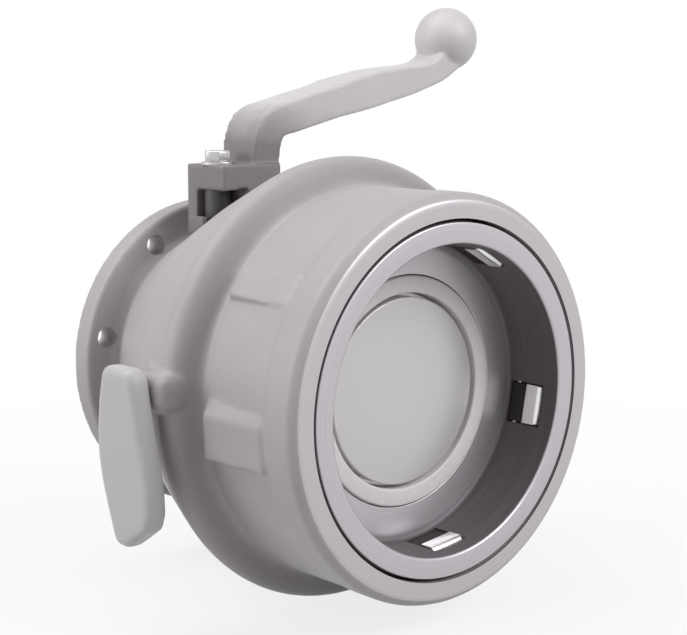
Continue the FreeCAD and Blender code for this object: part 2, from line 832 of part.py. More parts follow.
def make_stem_guide():
    body = new_body("stem_guide")
    rear = spigot_rear + size.spigot_lip
    front = rear + size.guide_length
    turned(body, [
        (rear, guide_bore_radius),
        (rear, size.seat_outer_radius),
        (front, size.seat_outer_radius),
        (front, guide_bore_radius),
    ])
    hub = draw_circles(body, [(0, 0, size.guide_hub_radius)], lift=rear)
    pad(body, hub, size.guide_length)
    inset = size.guide_leg_inset
    outline = box_outline(rear + inset, size.guide_hub_radius - 2 * inset,
                          front - inset, guide_bore_radius + inset)
    leg = pad(body, draw_outline(body, outline), size.guide_leg_width, both=True)
    around(body, [leg], size.guide_leg_count)
    bore = draw_circles(body, [(0, 0, size.stem_radius + size.running_gap)], lift=front)
    pocket(body, bore, size.guide_length)


def make_seal_carrier():
    body = new_body("seal_carrier")
    rear = face_seal_rear - size.seal_carrier_length
    inner = size.seat_outer_radius + size.seal_gap
    groove_inner = size.nose_spring_radius - size.spring_groove_side
    groove_outer = size.nose_spring_radius + size.spring_groove_side
    turned(body, [
        (rear, inner),
        (rear, groove_inner),
        (rear + size.spring_groove_depth, groove_inner),
        (rear + size.spring_groove_depth, groove_outer),
        (rear, groove_outer),
        (rear, size.seal_flange_radius),
        (floor_rear - size.running_gap, size.seal_flange_radius),
        (floor_rear - size.running_gap, size.seal_outer_radius),
        (face_seal_rear, size.seal_outer_radius),
        (face_seal_rear, inner),
    ])


def make_face_seal():
    body = new_body("face_seal")
    front = face_seal_rear + size.face_seal_length
    inner = size.seat_outer_radius + size.seal_gap + size.running_gap
    outer = size.seal_outer_radius - size.running_gap
    edge = size.face_seal_edge
    turned(body, [
        (face_seal_rear, inner),
        (face_seal_rear, outer),
        (front - edge, outer),
        (front, outer - edge),
        (front, inner + edge),
        (front - edge, inner),
    ])


def make_nose_spring():
    """The wave spring behind the seal carrier, drawn pressed flat, so its turns lie on each other."""
    body = new_body("nose_spring")
    carrier_rear = face_seal_rear - size.seal_carrier_length
    rear = housing_front_of_wall + size.running_gap
    front = carrier_rear - size.seal_stroke + size.spring_groove_depth - size.running_gap
    turn = (front - rear) / size.nose_spring_turns
    inner = size.nose_spring_radius - size.nose_spring_width / 2
    outer = size.nose_spring_radius + size.nose_spring_width / 2
    nick = size.nose_spring_nick
    outside, inside = [(rear, outer)], [(rear, inner)]
    for number in range(1, int(SIZES["nose_spring_turns"])):
        seam = rear + number * turn
        outside += [(seam - nick / 2, outer), (seam, outer - nick), (seam + nick / 2, outer)]
        inside += [(seam - nick / 2, inner), (seam, inner + nick), (seam + nick / 2, inner)]
    outside.append((front, outer))
    inside.append((front, inner))
    turned(body, outside + inside[::-1])


def make_poppet():
    disc = new_body("poppet_disc")
    turned(disc, [
        (poppet_boss_rear, 0),
        (poppet_boss_rear, size.poppet_boss_radius),
        (poppet_rear, size.poppet_boss_radius + size.poppet_boss_taper),
        (poppet_rear, size.seat_bore_radius - size.poppet_skirt),
        (poppet_rear + size.poppet_step, size.seat_bore_radius - size.poppet_skirt),
        (poppet_rear + size.poppet_step, size.poppet_radius),
        (poppet_face - size.poppet_edge, size.poppet_radius),
        (poppet_face, size.poppet_radius - size.poppet_edge),
        (poppet_face, 0),
    ])
    stud = draw_circles(disc, [(0, 0, size.stem_tail_radius)], lift=poppet_boss_rear)
    pocket(disc, stud, size.poppet_boss_length + size.stem_root + size.loose_gap, flip=True)
    seal = new_body("poppet_seal")
    turned(seal, ring_section(poppet_seal_place, poppet_seal_radius, size.poppet_seal_wire))
    stem = new_body("poppet_stem")
    nut_rear = poppet_boss_rear - size.stem_nut_length
    stem_rear = crosshead_front + size.crosshead_neck_length
    turned(stem, [
        (stem_rear, 0),
        (stem_rear, size.stem_radius),
        (nut_rear, size.stem_radius),
        (nut_rear, size.stem_tail_radius),
        (poppet_rear + size.stem_root, size.stem_tail_radius),
        (poppet_rear + size.stem_root, 0),
    ])
    nut = new_body("poppet_nut")
    pad(nut, draw_outline(nut, hexagon(size.stem_nut_flats), "YZ_Plane", nut_rear),
        size.stem_nut_length)
    hole = draw_circles(nut, [(0, 0, size.stem_tail_radius)], lift=nut_rear)
    pocket(nut, hole, size.stem_nut_length + size.cut_over, flip=True)


def make_crosshead():
    """A slotted plate across the axis, which the slide block pushes and pulls."""
    body = new_body("crosshead")
    half = size.block_side / 2
    slot_rear = pin_place - half - size.block_play
    slot_front = pin_place + half + size.block_play
    slot_low = pin_offset - half - size.crosshead_end_play
    slot_high = size.crank_radius - size.shaft_offset + half + size.crosshead_end_play
    low = size.shaft_radius - size.shaft_offset + size.crosshead_inset
    high = slot_high + size.crosshead_end_wall
    rear = slot_rear - size.crosshead_rail
    plate = draw_outline(body, box_outline(rear, low, crosshead_front, high), "XY_Plane")
    pad(body, plate, size.crosshead_thickness, both=True)
    slot = draw_outline(body, box_outline(slot_rear, slot_low, slot_front, slot_high), "XY_Plane")
    pocket(body, slot, size.crosshead_thickness + 2 * size.cut_over, both=True)
    neck_front = crosshead_front + size.crosshead_neck_length
    boss_front = crosshead_front + size.crosshead_boss_length
    turned(body, [
        (crosshead_front - size.cut_over, 0),
        (crosshead_front - size.cut_over, size.crosshead_neck_radius),
        (crosshead_front, size.crosshead_neck_radius),
        (neck_front, size.crosshead_boss_radius),
        (boss_front, size.crosshead_boss_radius),
        (boss_front, 0),
    ])
    bore = draw_circles(body, [(0, 0, size.stem_radius)], lift=neck_front)
    pocket(body, bore, size.crosshead_boss_length, flip=True)


def make_shaft_and_crank():
    shaft = new_body("lever_shaft")
    turned(shaft, box_outline(0, -size.shaft_bottom, size.shaft_radius, size.hub_bottom), "V_Axis")
    half = size.shaft_square / 2
    square = draw_outline(shaft, box_outline(-half, -half, half, half), "XY_Plane", size.hub_bottom)
    pad(shaft, square, size.hub_top - size.hub_bottom - size.shaft_end_gap)
    tapped = draw_circles(shaft, [(0, 0, size.bolt_radius)], "XY_Plane",
                          size.hub_top - size.shaft_end_gap)
    pocket(shaft, tapped, size.bolt_length)
    dowel = draw_circles(shaft, [(0, -size.crank_dowel_drop, size.crank_dowel_radius)], "XZ_Plane")
    pocket(shaft, dowel, 2 * size.crank_hub_radius, both=True)
    at_shaft(shaft)

    crank = new_body("crank")
    pin_spot = (pin_across, pin_aside)
    hub = draw_circles(crank, [(0, 0, size.crank_hub_radius)], "XY_Plane", -crank_bottom)
    pad(crank, hub, size.crank_thickness)
    end = draw_circles(crank, [(*pin_spot, size.crank_end_radius)], "XY_Plane", -crank_bottom)
    pad(crank, end, size.crank_thickness)
    along = (cosine(size.crank_angle), sine(size.crank_angle))
    side = size.crank_arm_width / 2
    corners = [(-along[1] * side, along[0] * side), (along[1] * side, -(along[0] * side))]
    arm = [corners[0], corners[1],
           (pin_across + corners[1][0], pin_aside + corners[1][1]),
           (pin_across + corners[0][0], pin_aside + corners[0][1])]
    pad(crank, draw_outline(crank, arm, "XY_Plane", -crank_bottom), size.crank_thickness)
    shift_spot = (size.shift_pin_throw * along[0], size.shift_pin_throw * along[1])
    shift = draw_circles(crank, [(*shift_spot, size.shift_pin_radius)], "XY_Plane",
                         -(crank_bottom + size.shift_pin_length))
    pad(crank, shift, size.shift_pin_length + size.cut_over)
    socket = draw_circles(crank, [(0, 0, size.shaft_radius)], "XY_Plane", -size.shaft_bottom)
    pocket(crank, socket, size.crank_thickness, flip=True)
    pressed = draw_circles(crank, [(*pin_spot, size.crank_pin_radius)], "XY_Plane", pin_bottom)
    pocket(crank, pressed, size.crank_thickness, flip=True)
    across = draw_circles(crank, [(0, -size.crank_dowel_drop, size.crank_dowel_radius)], "XZ_Plane")
    pocket(crank, across, 3 * size.crank_hub_radius, both=True)
    at_shaft(crank)

    pin = new_body("crank_pin")
    post = draw_circles(pin, [(*pin_spot, size.crank_pin_radius)], "XY_Plane", pin_bottom)
    pad(pin, post, size.crank_pin_top - pin_bottom)
    at_shaft(pin)

    dowel_pin = new_body("crank_dowel")
    rod = draw_circles(dowel_pin, [(0, -size.crank_dowel_drop, size.crank_dowel_radius)], "XZ_Plane")
    pad(dowel_pin, rod, 2 * (size.crank_hub_radius - size.crank_dowel_inset), both=True)
    at_shaft(dowel_pin)

    block = new_body("slide_block")
    half_side = size.block_side / 2
    outline = box_outline(pin_across - half_side, pin_aside - half_side,
                          pin_across + half_side, pin_aside + half_side)
    pad(block, draw_outline(block, outline, "XY_Plane"), size.block_height, both=True)
    eye = draw_circles(block, [(*pin_spot, size.crank_pin_radius + size.running_gap)], "XY_Plane")
    pocket(block, eye, size.block_height + 2 * size.cut_over, both=True)
    at_shaft(block)


def make_shaft_bearings():
    inner = size.shaft_radius + size.running_gap
    lower_top = size.boss_bottom + size.bush_length
    upper_bottom = bush_bore_top - size.bush_length
    for label, bottom, top in (("lower_bush", size.boss_bottom, lower_top),
                               ("upper_bush", upper_bottom, bush_bore_top)):
        bush = new_body(label)
        turned(bush, box_outline(inner, bottom, size.bush_radius, top), "V_Axis")
        at_shaft(bush)
    seals = new_body("shaft_seals")
    wire = size.shaft_seal_wire
    for height in ((lower_top + upper_bottom) / 2, bush_bore_top + wire):
        turned(seals, ring_section(inner + wire, height, wire), "V_Axis")
    at_shaft(seals)
    gland = new_body("gland_nut")
    gland_top = size.boss_top - size.gland_inset
    turned(gland, box_outline(inner, gland_top - size.gland_length, size.gland_radius, gland_top),
           "V_Axis")
    middle = (inner + size.gland_radius) / 2
    spanner = draw_circles(gland, [(middle, 0, size.spanner_hole_radius),
                                   (-middle, 0, size.spanner_hole_radius)],
                           "XY_Plane", gland_top)
    pocket(gland, spanner, size.gland_length / 2)
    at_shaft(gland)


# Stations of the lever's arm from the riser to the ball: distance out as a share of the reach,
# height as a share of the rise from the hub's top to the ball, lean of the section from level,
# half width and half depth.
ARM_STATIONS = (
    (0.129, -0.04, 0, 15.6, 6.8),
    (0.129, 0.04, 0, 15.6, 6.8),
    (0.136, 0.118, 3, 15.6, 6.9),
    (0.143, 0.207, 18, 15.6, 6.7),
    (0.161, 0.291, 38, 15.6, 6.7),
    (0.188, 0.331, 62, 15.6, 6.8),
    (0.248, 0.379, 76, 15.5, 7.4),
    (0.355, 0.436, 77, 15.3, 7.5),
    (0.426, 0.469, 75, 15.1, 8.2),
    (0.503, 0.524, 75, 14.9, 9.4),
    (0.58, 0.57, 77, 14.6, 9.5),
    (0.663, 0.614, 79, 14.1, 8.9),
    (0.757, 0.658, 79, 13.4, 7.8),
    (0.84, 0.698, 76, 12.8, 6.6),
    (0.905, 0.74, 62, 12.4, 6.3),
    (0.953, 0.799, 38, 12.4, 7.4),
    (0.985, 0.865, 15, 12.4, 9.0),
)


def rounded_section(body, out, up, lean, half_width, half_depth):
    """A rounded rectangle across the lever's arm."""
    sketch = body.newObject("Sketcher::SketchObject", "lever_section")
    sketch.AttachmentSupport = [(datum(body, "XY_Plane"), "")]
    sketch.MapMode = "FlatFace"
    sketch.AttachmentOffset = FreeCAD.Placement(FreeCAD.Vector(), FreeCAD.Rotation(X_AXIS, -lean))
    rise = size.ball_height - size.hub_top
    bind(sketch, "AttachmentOffset.Base.y", out * size.lever_reach)
    bind(sketch, "AttachmentOffset.Base.z", size.hub_top + up * rise)
    edge = SIZES["arm_edge"]
    wide, deep = half_width - edge, half_depth - edge
    lines = [((-wide, -half_depth), (wide, -half_depth)), ((half_width, -deep), (half_width, deep)),
             ((wide, half_depth), (-wide, half_depth)), ((-half_width, deep), (-half_width, -deep))]
    arcs = [((wide, -deep), 270), ((wide, deep), 0), ((-wide, deep), 90), ((-wide, -deep), 180)]
    for (start, end), (centre, angle) in zip(lines, arcs):
        sketch.addGeometry(Part.LineSegment(FreeCAD.Vector(*start, 0), FreeCAD.Vector(*end, 0)), False)
        circle = Part.Circle(FreeCAD.Vector(*centre, 0), FreeCAD.Vector(0, 0, 1), edge)
        sketch.addGeometry(Part.ArcOfCircle(circle, math.radians(angle), math.radians(angle + 90)),
                           False)
    for index in range(4):
        line, arc, after = 2 * index, 2 * index + 1, (2 * index + 2) % 8
        sketch.addConstraint(Sketcher.Constraint("Tangent", line, 2, arc, 1))
        sketch.addConstraint(Sketcher.Constraint("Tangent", arc, 2, after, 1))
    for arc in (3, 5, 7):
        sketch.addConstraint(Sketcher.Constraint("Equal", 1, arc))
    held = sketch.addConstraint(Sketcher.Constraint("Radius", 1, edge))
    sketch.setExpression("Constraints[%d]" % held, size.arm_edge.text)
    across, aside = half_width - size.arm_edge, half_depth - size.arm_edge
    for arc, x_side, y_side in ((1, 1, -1), (3, 1, 1), (5, -1, 1), (7, -1, -1)):
        fix_point(sketch, arc, 3, x_side * across, y_side * aside)
    return sketch


def make_lever():
    body = new_body("lever")
    wide = size.hub_half_width
    hub = draw_outline(body, [
        (-size.hub_front, size.hub_bottom),
        (size.hub_relief_start, size.hub_bottom),
        (size.hub_back, size.hub_bottom + size.hub_relief),
        (size.hub_back, size.hub_top),
        (-size.hub_front, size.hub_top),
    ], "YZ_Plane")
    pad(body, hub, 2 * wide, both=True)
    legs = draw_outline(body, [
        (-wide, -size.hub_front),
        (-size.leg_rear_inside, -size.hub_front),
        (-size.leg_rear_inside, size.leg_side_inside),
        (wide, size.leg_side_inside),
        (wide, size.leg_side_outside),
        (-wide, size.leg_side_outside),
    ], "XY_Plane", size.leg_bottom)
    pad(body, legs, size.hub_bottom - size.leg_bottom + size.cut_over)
    half = size.shaft_square / 2 + size.running_gap
    socket = draw_outline(body, box_outline(-half, -half, half, half), "XY_Plane",
                          size.hub_bottom - size.cut_over)
    pocket(body, socket, size.hub_top - size.hub_bottom + 2 * size.cut_over, flip=True)
    sections = [rounded_section(body, *station) for station in ARM_STATIONS]
    arm = body.newObject("PartDesign::AdditiveLoft", "lever_arm")
    arm.Profile = sections[0]
    arm.Sections = sections[1:]
    document.recompute()
    ball = body.newObject("PartDesign::AdditiveSphere", "lever_ball")
    bind(ball, "Radius", size.ball_radius)
    ball.AttachmentSupport = [(datum(body, "XY_Plane"), "")]
    ball.MapMode = "FlatFace"
    ball.AttachmentOffset = FreeCAD.Placement(FreeCAD.Vector(), FreeCAD.Rotation(Y_AXIS, -90))
    bind(ball, "AttachmentOffset.Base.y", size.lever_reach)
    bind(ball, "AttachmentOffset.Base.z", size.ball_height)
    at_shaft(body)


def make_lever_fastening():
    washer = new_body("lever_washer")
    washer_top = size.hub_top + size.washer_thickness
    turned(washer, box_outline(size.bolt_radius + size.washer_play, size.hub_top,
                               size.washer_radius, washer_top),
           "V_Axis")
    at_shaft(washer)
    bolt = new_body("lever_bolt")
    pad(bolt, draw_outline(bolt, hexagon(size.bolt_flats), "XY_Plane", washer_top), size.bolt_head)
    shank = draw_circles(bolt, [(0, 0, size.bolt_radius)], "XY_Plane",
                         washer_top - size.bolt_length)
    pad(bolt, shank, size.bolt_length + size.cut_over)
    at_shaft(bolt)


def make_grips():
    outline = [
        (lug_middle - size.grip_top_rear, size.grip_top - size.grip_top_slope),
        (lug_middle + size.grip_top_front, size.grip_top),
        (lug_middle + size.grip_low_front, size.grip_low_height),
        (lug_middle + size.grip_foot_front, size.grip_foot),
        (lug_middle - size.grip_foot_rear, size.grip_foot + size.cut_over),
        (lug_middle - size.grip_side_rear, size.grip_side_height),
    ]
    for label, side in (("left_grip", 1), ("right_grip", -1)):
        grip = new_body(label)
        plate = draw_outline(grip, outline, "XZ_Plane", side * size.lug_reach)
        pad(grip, plate, size.grip_thickness, flip=side < 0)
        document.recompute()
        corners = ["Edge%d" % index for index, edge in enumerate(grip.Shape.Edges, start=1)
                   if abs(edge.tangentAt(edge.FirstParameter).y) > 0.99]
        round_edges(grip, corners, size.grip_corner)
        rims = [face for face in grip.Shape.Faces if abs(face.normalAt(0, 0).y) > 0.99]
        names = ["Edge%d" % index for index, edge in enumerate(grip.Shape.Edges, start=1)
                 if any(edge.isSame(other) for face in rims for other in face.Edges)]
        round_edges(grip, names, size.grip_edge)
        stud = draw_circles(grip, [(*lug_centre, size.stud_radius)], "XZ_Plane", side * size.lug_reach)
        pocket(grip, stud, size.grip_stud_depth, flip=side > 0)
    studs = new_body("grip_studs")
    for side in (1, -1):
        start = draw_circles(studs, [(*lug_centre, size.stud_radius)], "XZ_Plane",
                             side * (size.lug_reach - size.stud_depth))
        pad(studs, start, size.stud_depth + size.grip_stud_depth - size.loose_gap, flip=side < 0)


def make_hidden_fasteners():
    screws = new_body("carrier_screws")
    head_front = size.body_length + size.carrier_screw_head_length
    aside, up = at_angle(size.carrier_screw_circle, size.finger_angle + 180 / size.finger_count)
    head = draw_circles(screws, [(aside, up, size.carrier_screw_head)], lift=size.body_length)
    head_pad = pad(screws, head, size.carrier_screw_head_length)
    shank = draw_circles(screws, [(aside, up, size.carrier_screw_radius)], lift=head_front)
    reach = housing_front_of_wall + size.carrier_screw_reach - head_front
    shank_pad = pad(screws, shank, reach)
    around(screws, [head_pad, shank_pad], size.finger_count)
    screws = new_body("housing_screws")
    aside, up = at_angle(size.housing_screw_circle, size.housing_screw_angle)
    seat = housing_front_of_wall - size.housing_screw_recess
    head = draw_circles(screws, [(aside, up, size.housing_screw_head)], lift=seat)
    head_pad = pad(screws, head, size.housing_screw_recess - size.loose_gap)
    shank = draw_circles(screws, [(aside, up, size.housing_screw_radius)], lift=seat)
    reach = seat - size.body_length + size.housing_screw_reach
    shank_pad = pad(screws, shank, reach, flip=True)
    around(screws, [head_pad, shank_pad], size.housing_screw_count)
    seal = new_body("housing_seal")
    wire = size.housing_seal_wire
    centre = size.body_length - size.front_wall / 2 - wire - size.seal_groove_play / 2
    turned(seal, ring_section(centre, size.spigot_radius - wire, wire))


def check_and_write():
    document.recompute()
    faults = [item.Label for item in document.Objects
              if "Invalid" in item.State or "Error" in item.State]
    for part in SUBPARTS:
        if part.Shape.isNull() or not part.Shape.isValid() or not part.Shape.Solids:
            faults.append(part.Label + " shape")
    if faults:
        raise SystemExit("failed: " + ", ".join(faults))
    os.makedirs("parts", exist_ok=True)
    for part in SUBPARTS:
        part.Shape.exportStep("parts/%s.step" % part.Label)
        box = part.Shape.BoundBox
        print("%-20s solids %d volume %9.0f  x %.1f %.1f  y %.1f %.1f  z %.1f %.1f" % (
            part.Label, len(part.Shape.Solids), part.Shape.Volume,
            box.XMin, box.XMax, box.YMin, box.YMax, box.ZMin, box.ZMax))


make_main_body()
make_coupling_housing()
make_carrier_plate()
make_latch_carrier()
make_fingers()
make_finger_pins()
make_lock_sleeve()
make_push_rods()
make_shift_yoke()
make_seat_ring()
make_stem_guide()
make_seal_carrier()
make_face_seal()
make_nose_spring()
make_poppet()
make_crosshead()
make_shaft_and_crank()
make_shaft_bearings()
make_lever()
make_lever_fastening()
make_grips()
make_hidden_fasteners()
check_and_write()
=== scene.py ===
import json
import math

import bmesh
import bpy
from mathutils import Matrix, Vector

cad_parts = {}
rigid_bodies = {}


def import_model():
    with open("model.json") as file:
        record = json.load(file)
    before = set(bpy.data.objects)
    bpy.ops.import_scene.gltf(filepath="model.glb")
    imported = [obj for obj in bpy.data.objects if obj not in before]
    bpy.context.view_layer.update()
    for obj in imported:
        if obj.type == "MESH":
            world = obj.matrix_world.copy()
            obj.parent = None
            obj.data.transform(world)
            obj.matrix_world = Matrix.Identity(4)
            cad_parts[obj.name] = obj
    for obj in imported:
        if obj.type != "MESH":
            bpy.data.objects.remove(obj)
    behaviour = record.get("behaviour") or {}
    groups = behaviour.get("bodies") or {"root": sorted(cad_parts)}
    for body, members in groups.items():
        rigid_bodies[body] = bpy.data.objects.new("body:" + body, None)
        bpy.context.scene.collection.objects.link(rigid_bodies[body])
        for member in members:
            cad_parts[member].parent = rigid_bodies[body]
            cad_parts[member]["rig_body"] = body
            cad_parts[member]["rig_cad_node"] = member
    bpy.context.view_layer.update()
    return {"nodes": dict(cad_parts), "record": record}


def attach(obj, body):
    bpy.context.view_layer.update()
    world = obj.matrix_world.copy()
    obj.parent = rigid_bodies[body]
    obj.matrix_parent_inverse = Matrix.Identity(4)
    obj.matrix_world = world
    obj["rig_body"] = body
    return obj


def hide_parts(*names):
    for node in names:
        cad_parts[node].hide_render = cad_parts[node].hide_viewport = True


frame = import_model()
nodes = frame["nodes"]
MM = 0.001

# Sizes that several pieces share, in millimetres and degrees.
SHAFT = (44, -21)
JOINT = 138
ROD_CIRCLE, ROD_HOLE = 83.9, 2.55
ROD_ANGLES = [65 + 120 * number for number in range(3)]
BOLT_CIRCLE, BOLT_HOLE = 74.6, 5.5
BOLT_ANGLES = [-33 + 45 * number for number in range(8)]
FINGER_ANGLES = [29 + 72 * number for number in range(5)]
BALL_RADIUS, BALL_CENTRE = 18.4, (44, 148, 173.6)
GRIP_PLACE, GRIP_WALL = 124, 11.6
FLOOR = -112.9


# Camera: where the photograph was taken from.

camera = bpy.data.objects.new("camera", bpy.data.cameras.new("camera"))
bpy.context.scene.collection.objects.link(camera)
camera.location = (0.7075, -0.5156, 0.1530)
camera.rotation_euler = Vector((0.742, -0.652, 0.154)).to_track_quat("Z", "Y").to_euler()
camera.data.lens = 81.6
camera.data.sensor_width = 36
camera.data.clip_end = 20
bpy.context.scene.camera = camera
bpy.context.scene.view_settings.view_transform = "Standard"


# Tools for modelling by hand.

def let_go():
    """Leaves edit mode with nothing selected."""
    if bpy.context.object and bpy.context.object.mode != "OBJECT":
        bpy.ops.object.mode_set(mode="OBJECT")
    bpy.ops.object.select_all(action="DESELECT")


def take(piece):
    let_go()
    piece.select_set(True)
    bpy.context.view_layer.objects.active = piece
    return piece


def name_piece(name):
    piece = bpy.context.object
    piece.name = name
    piece.data.name = name
    bpy.ops.object.transform_apply(location=True, rotation=True, scale=True)
    return piece


def edit(piece):
    take(piece)
    bpy.ops.object.mode_set(mode="EDIT")
    return bmesh.from_edit_mesh(piece.data)


def pick(mesh, faces=None, edges=None, points=None):
    """Selects in edit mode the faces, edges or vertices for which a test holds."""
    bpy.ops.mesh.select_all(action="DESELECT")
    for items, test in ((mesh.verts, points), (mesh.edges, edges), (mesh.faces, faces)):
        if test:
            for item in items:
                if test(item):
                    item.select_set(True)
    mesh.select_flush_mode()


def modify(piece, kind, **settings):
    """Adds a modifier to a piece and applies it."""
    take(piece)
    modifier = piece.modifiers.new(kind.lower(), kind)
    for key, value in settings.items():
        setattr(modifier, key, value)
    bpy.ops.object.modifier_apply(modifier=modifier.name)
    return piece


def cut(piece, tool):
    modify(piece, "BOOLEAN", operation="DIFFERENCE", object=tool, solver="EXACT")
    bpy.data.objects.remove(tool)
    return piece


def weld(piece, *others):
    for other in others:
        modify(piece, "BOOLEAN", operation="UNION", object=other, solver="EXACT")
        bpy.data.objects.remove(other)
    return piece


def cast(piece, grain, smoothing):
    """Gives a welded shape the soft inside corners of a casting."""
    modify(piece, "REMESH", mode="VOXEL", voxel_size=grain * MM)
    modify(piece, "SMOOTH", factor=0.5, iterations=smoothing)
    return piece


def smooth(piece, angle=35):
    take(piece)
    bpy.ops.object.shade_smooth_by_angle(angle=math.radians(angle))
    return piece


def box(name, low, high, edge=0, steps=3):
    """A block between two corners, in millimetres, with rounded edges."""
    let_go()
    middle = [(a + b) / 2 * MM for a, b in zip(low, high)]
    bpy.ops.mesh.primitive_cube_add(size=1, location=middle)
    bpy.context.object.scale = [(b - a) * MM for a, b in zip(low, high)]
    block = name_piece(name)
    if edge:
        modify(block, "BEVEL", width=edge * MM, segments=steps, limit_method="NONE")
    return block


def rod(name, centre, radius, length, axis="X", steps=48):
    """A cylinder that starts at a point, in millimetres, and runs along X or Z."""
    let_go()
    turn = (0, math.pi / 2, 0) if axis == "X" else (0, 0, 0)
    along = (1, 0, 0) if axis == "X" else (0, 0, 1)
    middle = [(c + a * length / 2) * MM for c, a in zip(centre, along)]
    bpy.ops.mesh.primitive_cylinder_add(vertices=steps, radius=radius * MM, depth=length * MM,
                                        location=middle, rotation=turn)
    return name_piece(name)


def spun(name, centre, radius, length, angle):
    """A rod along X, given by (start, own radius), circle, length and angle from +Z to +Y."""
    turn = math.radians(angle)
    start = (centre[0], radius * math.sin(turn), radius * math.cos(turn))
    return rod(name, start, centre[1], length)


def swing(piece, angle):
    """Turns a piece about the coupler's axis by so many degrees."""
    take(piece)
    piece.rotation_euler = (math.radians(angle), 0, 0)
    bpy.ops.object.transform_apply(rotation=True)
    return piece


def rounded(outline, steps=6):
    """An outline of (place, radius) or (place, radius, rounding) with its corners rounded."""
    points = []
    count = len(outline)
    for index, corner in enumerate(outline):
        here = Vector(corner[:2])
        reach = corner[2] if len(corner) > 2 else 0
        before = Vector(outline[index - 1][:2]) - here
        after = Vector(outline[(index + 1) % count][:2]) - here
        if not reach or before.length < 1e-6 or after.length < 1e-6:
            points.append(tuple(here))
            continue
        before.normalize()
        after.normalize()
        half = before.angle(after) / 2
        step_back = reach / math.tan(half)
        centre = here + (before + after).normalized() * (reach / math.sin(half))
        first = here + before * step_back - centre
        last = here + after * step_back - centre
        turn = first.angle_signed(last)
        for step in range(steps + 1):
            angle = -turn * step / steps
            spin = Vector((first.x * math.cos(angle) - first.y * math.sin(angle),
                           first.x * math.sin(angle) + first.y * math.cos(angle)))
            points.append(tuple(centre + spin))
    return points


def turned(name, outline, steps=180, solid=False):
    """A turned piece: a ring is extruded and resized along an outline of (place, radius)."""
    let_go()
    place, radius = outline[0]
    bpy.ops.mesh.primitive_circle_add(vertices=steps, radius=radius * MM,
                                      location=(place * MM, 0, 0), rotation=(0, math.pi / 2, 0))
    piece = name_piece(name)
    bpy.ops.object.mode_set(mode="EDIT")
    bpy.ops.mesh.select_all(action="SELECT")
    if solid:
        bpy.ops.mesh.fill()
    for next_place, next_radius in outline[1:]:
        bpy.ops.mesh.extrude_region_move(
            TRANSFORM_OT_translate={"value": ((next_place - place) * MM, 0, 0)})
        grow = next_radius / radius
        bpy.ops.transform.resize(value=(1, grow, grow), center_override=(next_place * MM, 0, 0))
        place, radius = next_place, next_radius
    if not solid:
        bpy.ops.mesh.select_all(action="DESELECT")
        bpy.ops.mesh.select_non_manifold()
        bpy.ops.mesh.bridge_edge_loops()
    bpy.ops.mesh.select_all(action="SELECT")
    bpy.ops.mesh.remove_doubles(threshold=1e-6)
    bpy.ops.mesh.normals_make_consistent(inside=False)
    bpy.ops.object.mode_set(mode="OBJECT")
    return smooth(piece, 30)


def copied(node):
    """A copy of a solid from the frame, its flat faces in one piece, to be worked on."""
    let_go()
    piece = nodes[node].copy()
    piece.data = nodes[node].data.copy()
    piece.parent = None
    bpy.context.scene.collection.objects.link(piece)
    piece.name = node + "_finished"
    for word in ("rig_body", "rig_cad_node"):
        if word in piece:
            del piece[word]
    edit(piece)
    bpy.ops.mesh.select_all(action="SELECT")
    bpy.ops.mesh.remove_doubles(threshold=1e-6)
    bpy.ops.mesh.dissolve_limited(angle_limit=math.radians(1))
    bpy.ops.object.mode_set(mode="OBJECT")
    return smooth(piece, 40)


# Finishes.

class Wire:
    """A node socket that sums can be written with."""

    def __init__(self, tree, socket):
        self.tree = tree
        self.socket = socket

    def sum(self, operation, *inputs):
        node = self.tree.nodes.new("ShaderNodeMath")
        node.operation = operation
        for slot, item in zip(node.inputs, inputs):
            if isinstance(item, Wire):
                self.tree.links.new(item.socket, slot)
            else:
                slot.default_value = item
        return Wire(self.tree, node.outputs[0])

    def __add__(self, other):
        return self.sum("ADD", self, other)

    def __radd__(self, other):
        return self.sum("ADD", other, self)

    def __sub__(self, other):
        return self.sum("SUBTRACT", self, other)

    def __rsub__(self, other):
        return self.sum("SUBTRACT", other, self)

    def __mul__(self, other):
        return self.sum("MULTIPLY", self, other)

    def __truediv__(self, other):
        return self.sum("DIVIDE", self, other)

    def above(self, edge, width):
        """0 below an edge and 1 above it, with a soft step."""
        return ((self - (edge - width / 2)) / width).clamp()

    def clamp(self):
        node = self.sum("ADD", self, 0)
        node.socket.node.use_clamp = True
        return node

    def sine(self):
        return self.sum("SINE", self)

    def root(self):
        return self.sum("SQRT", self)


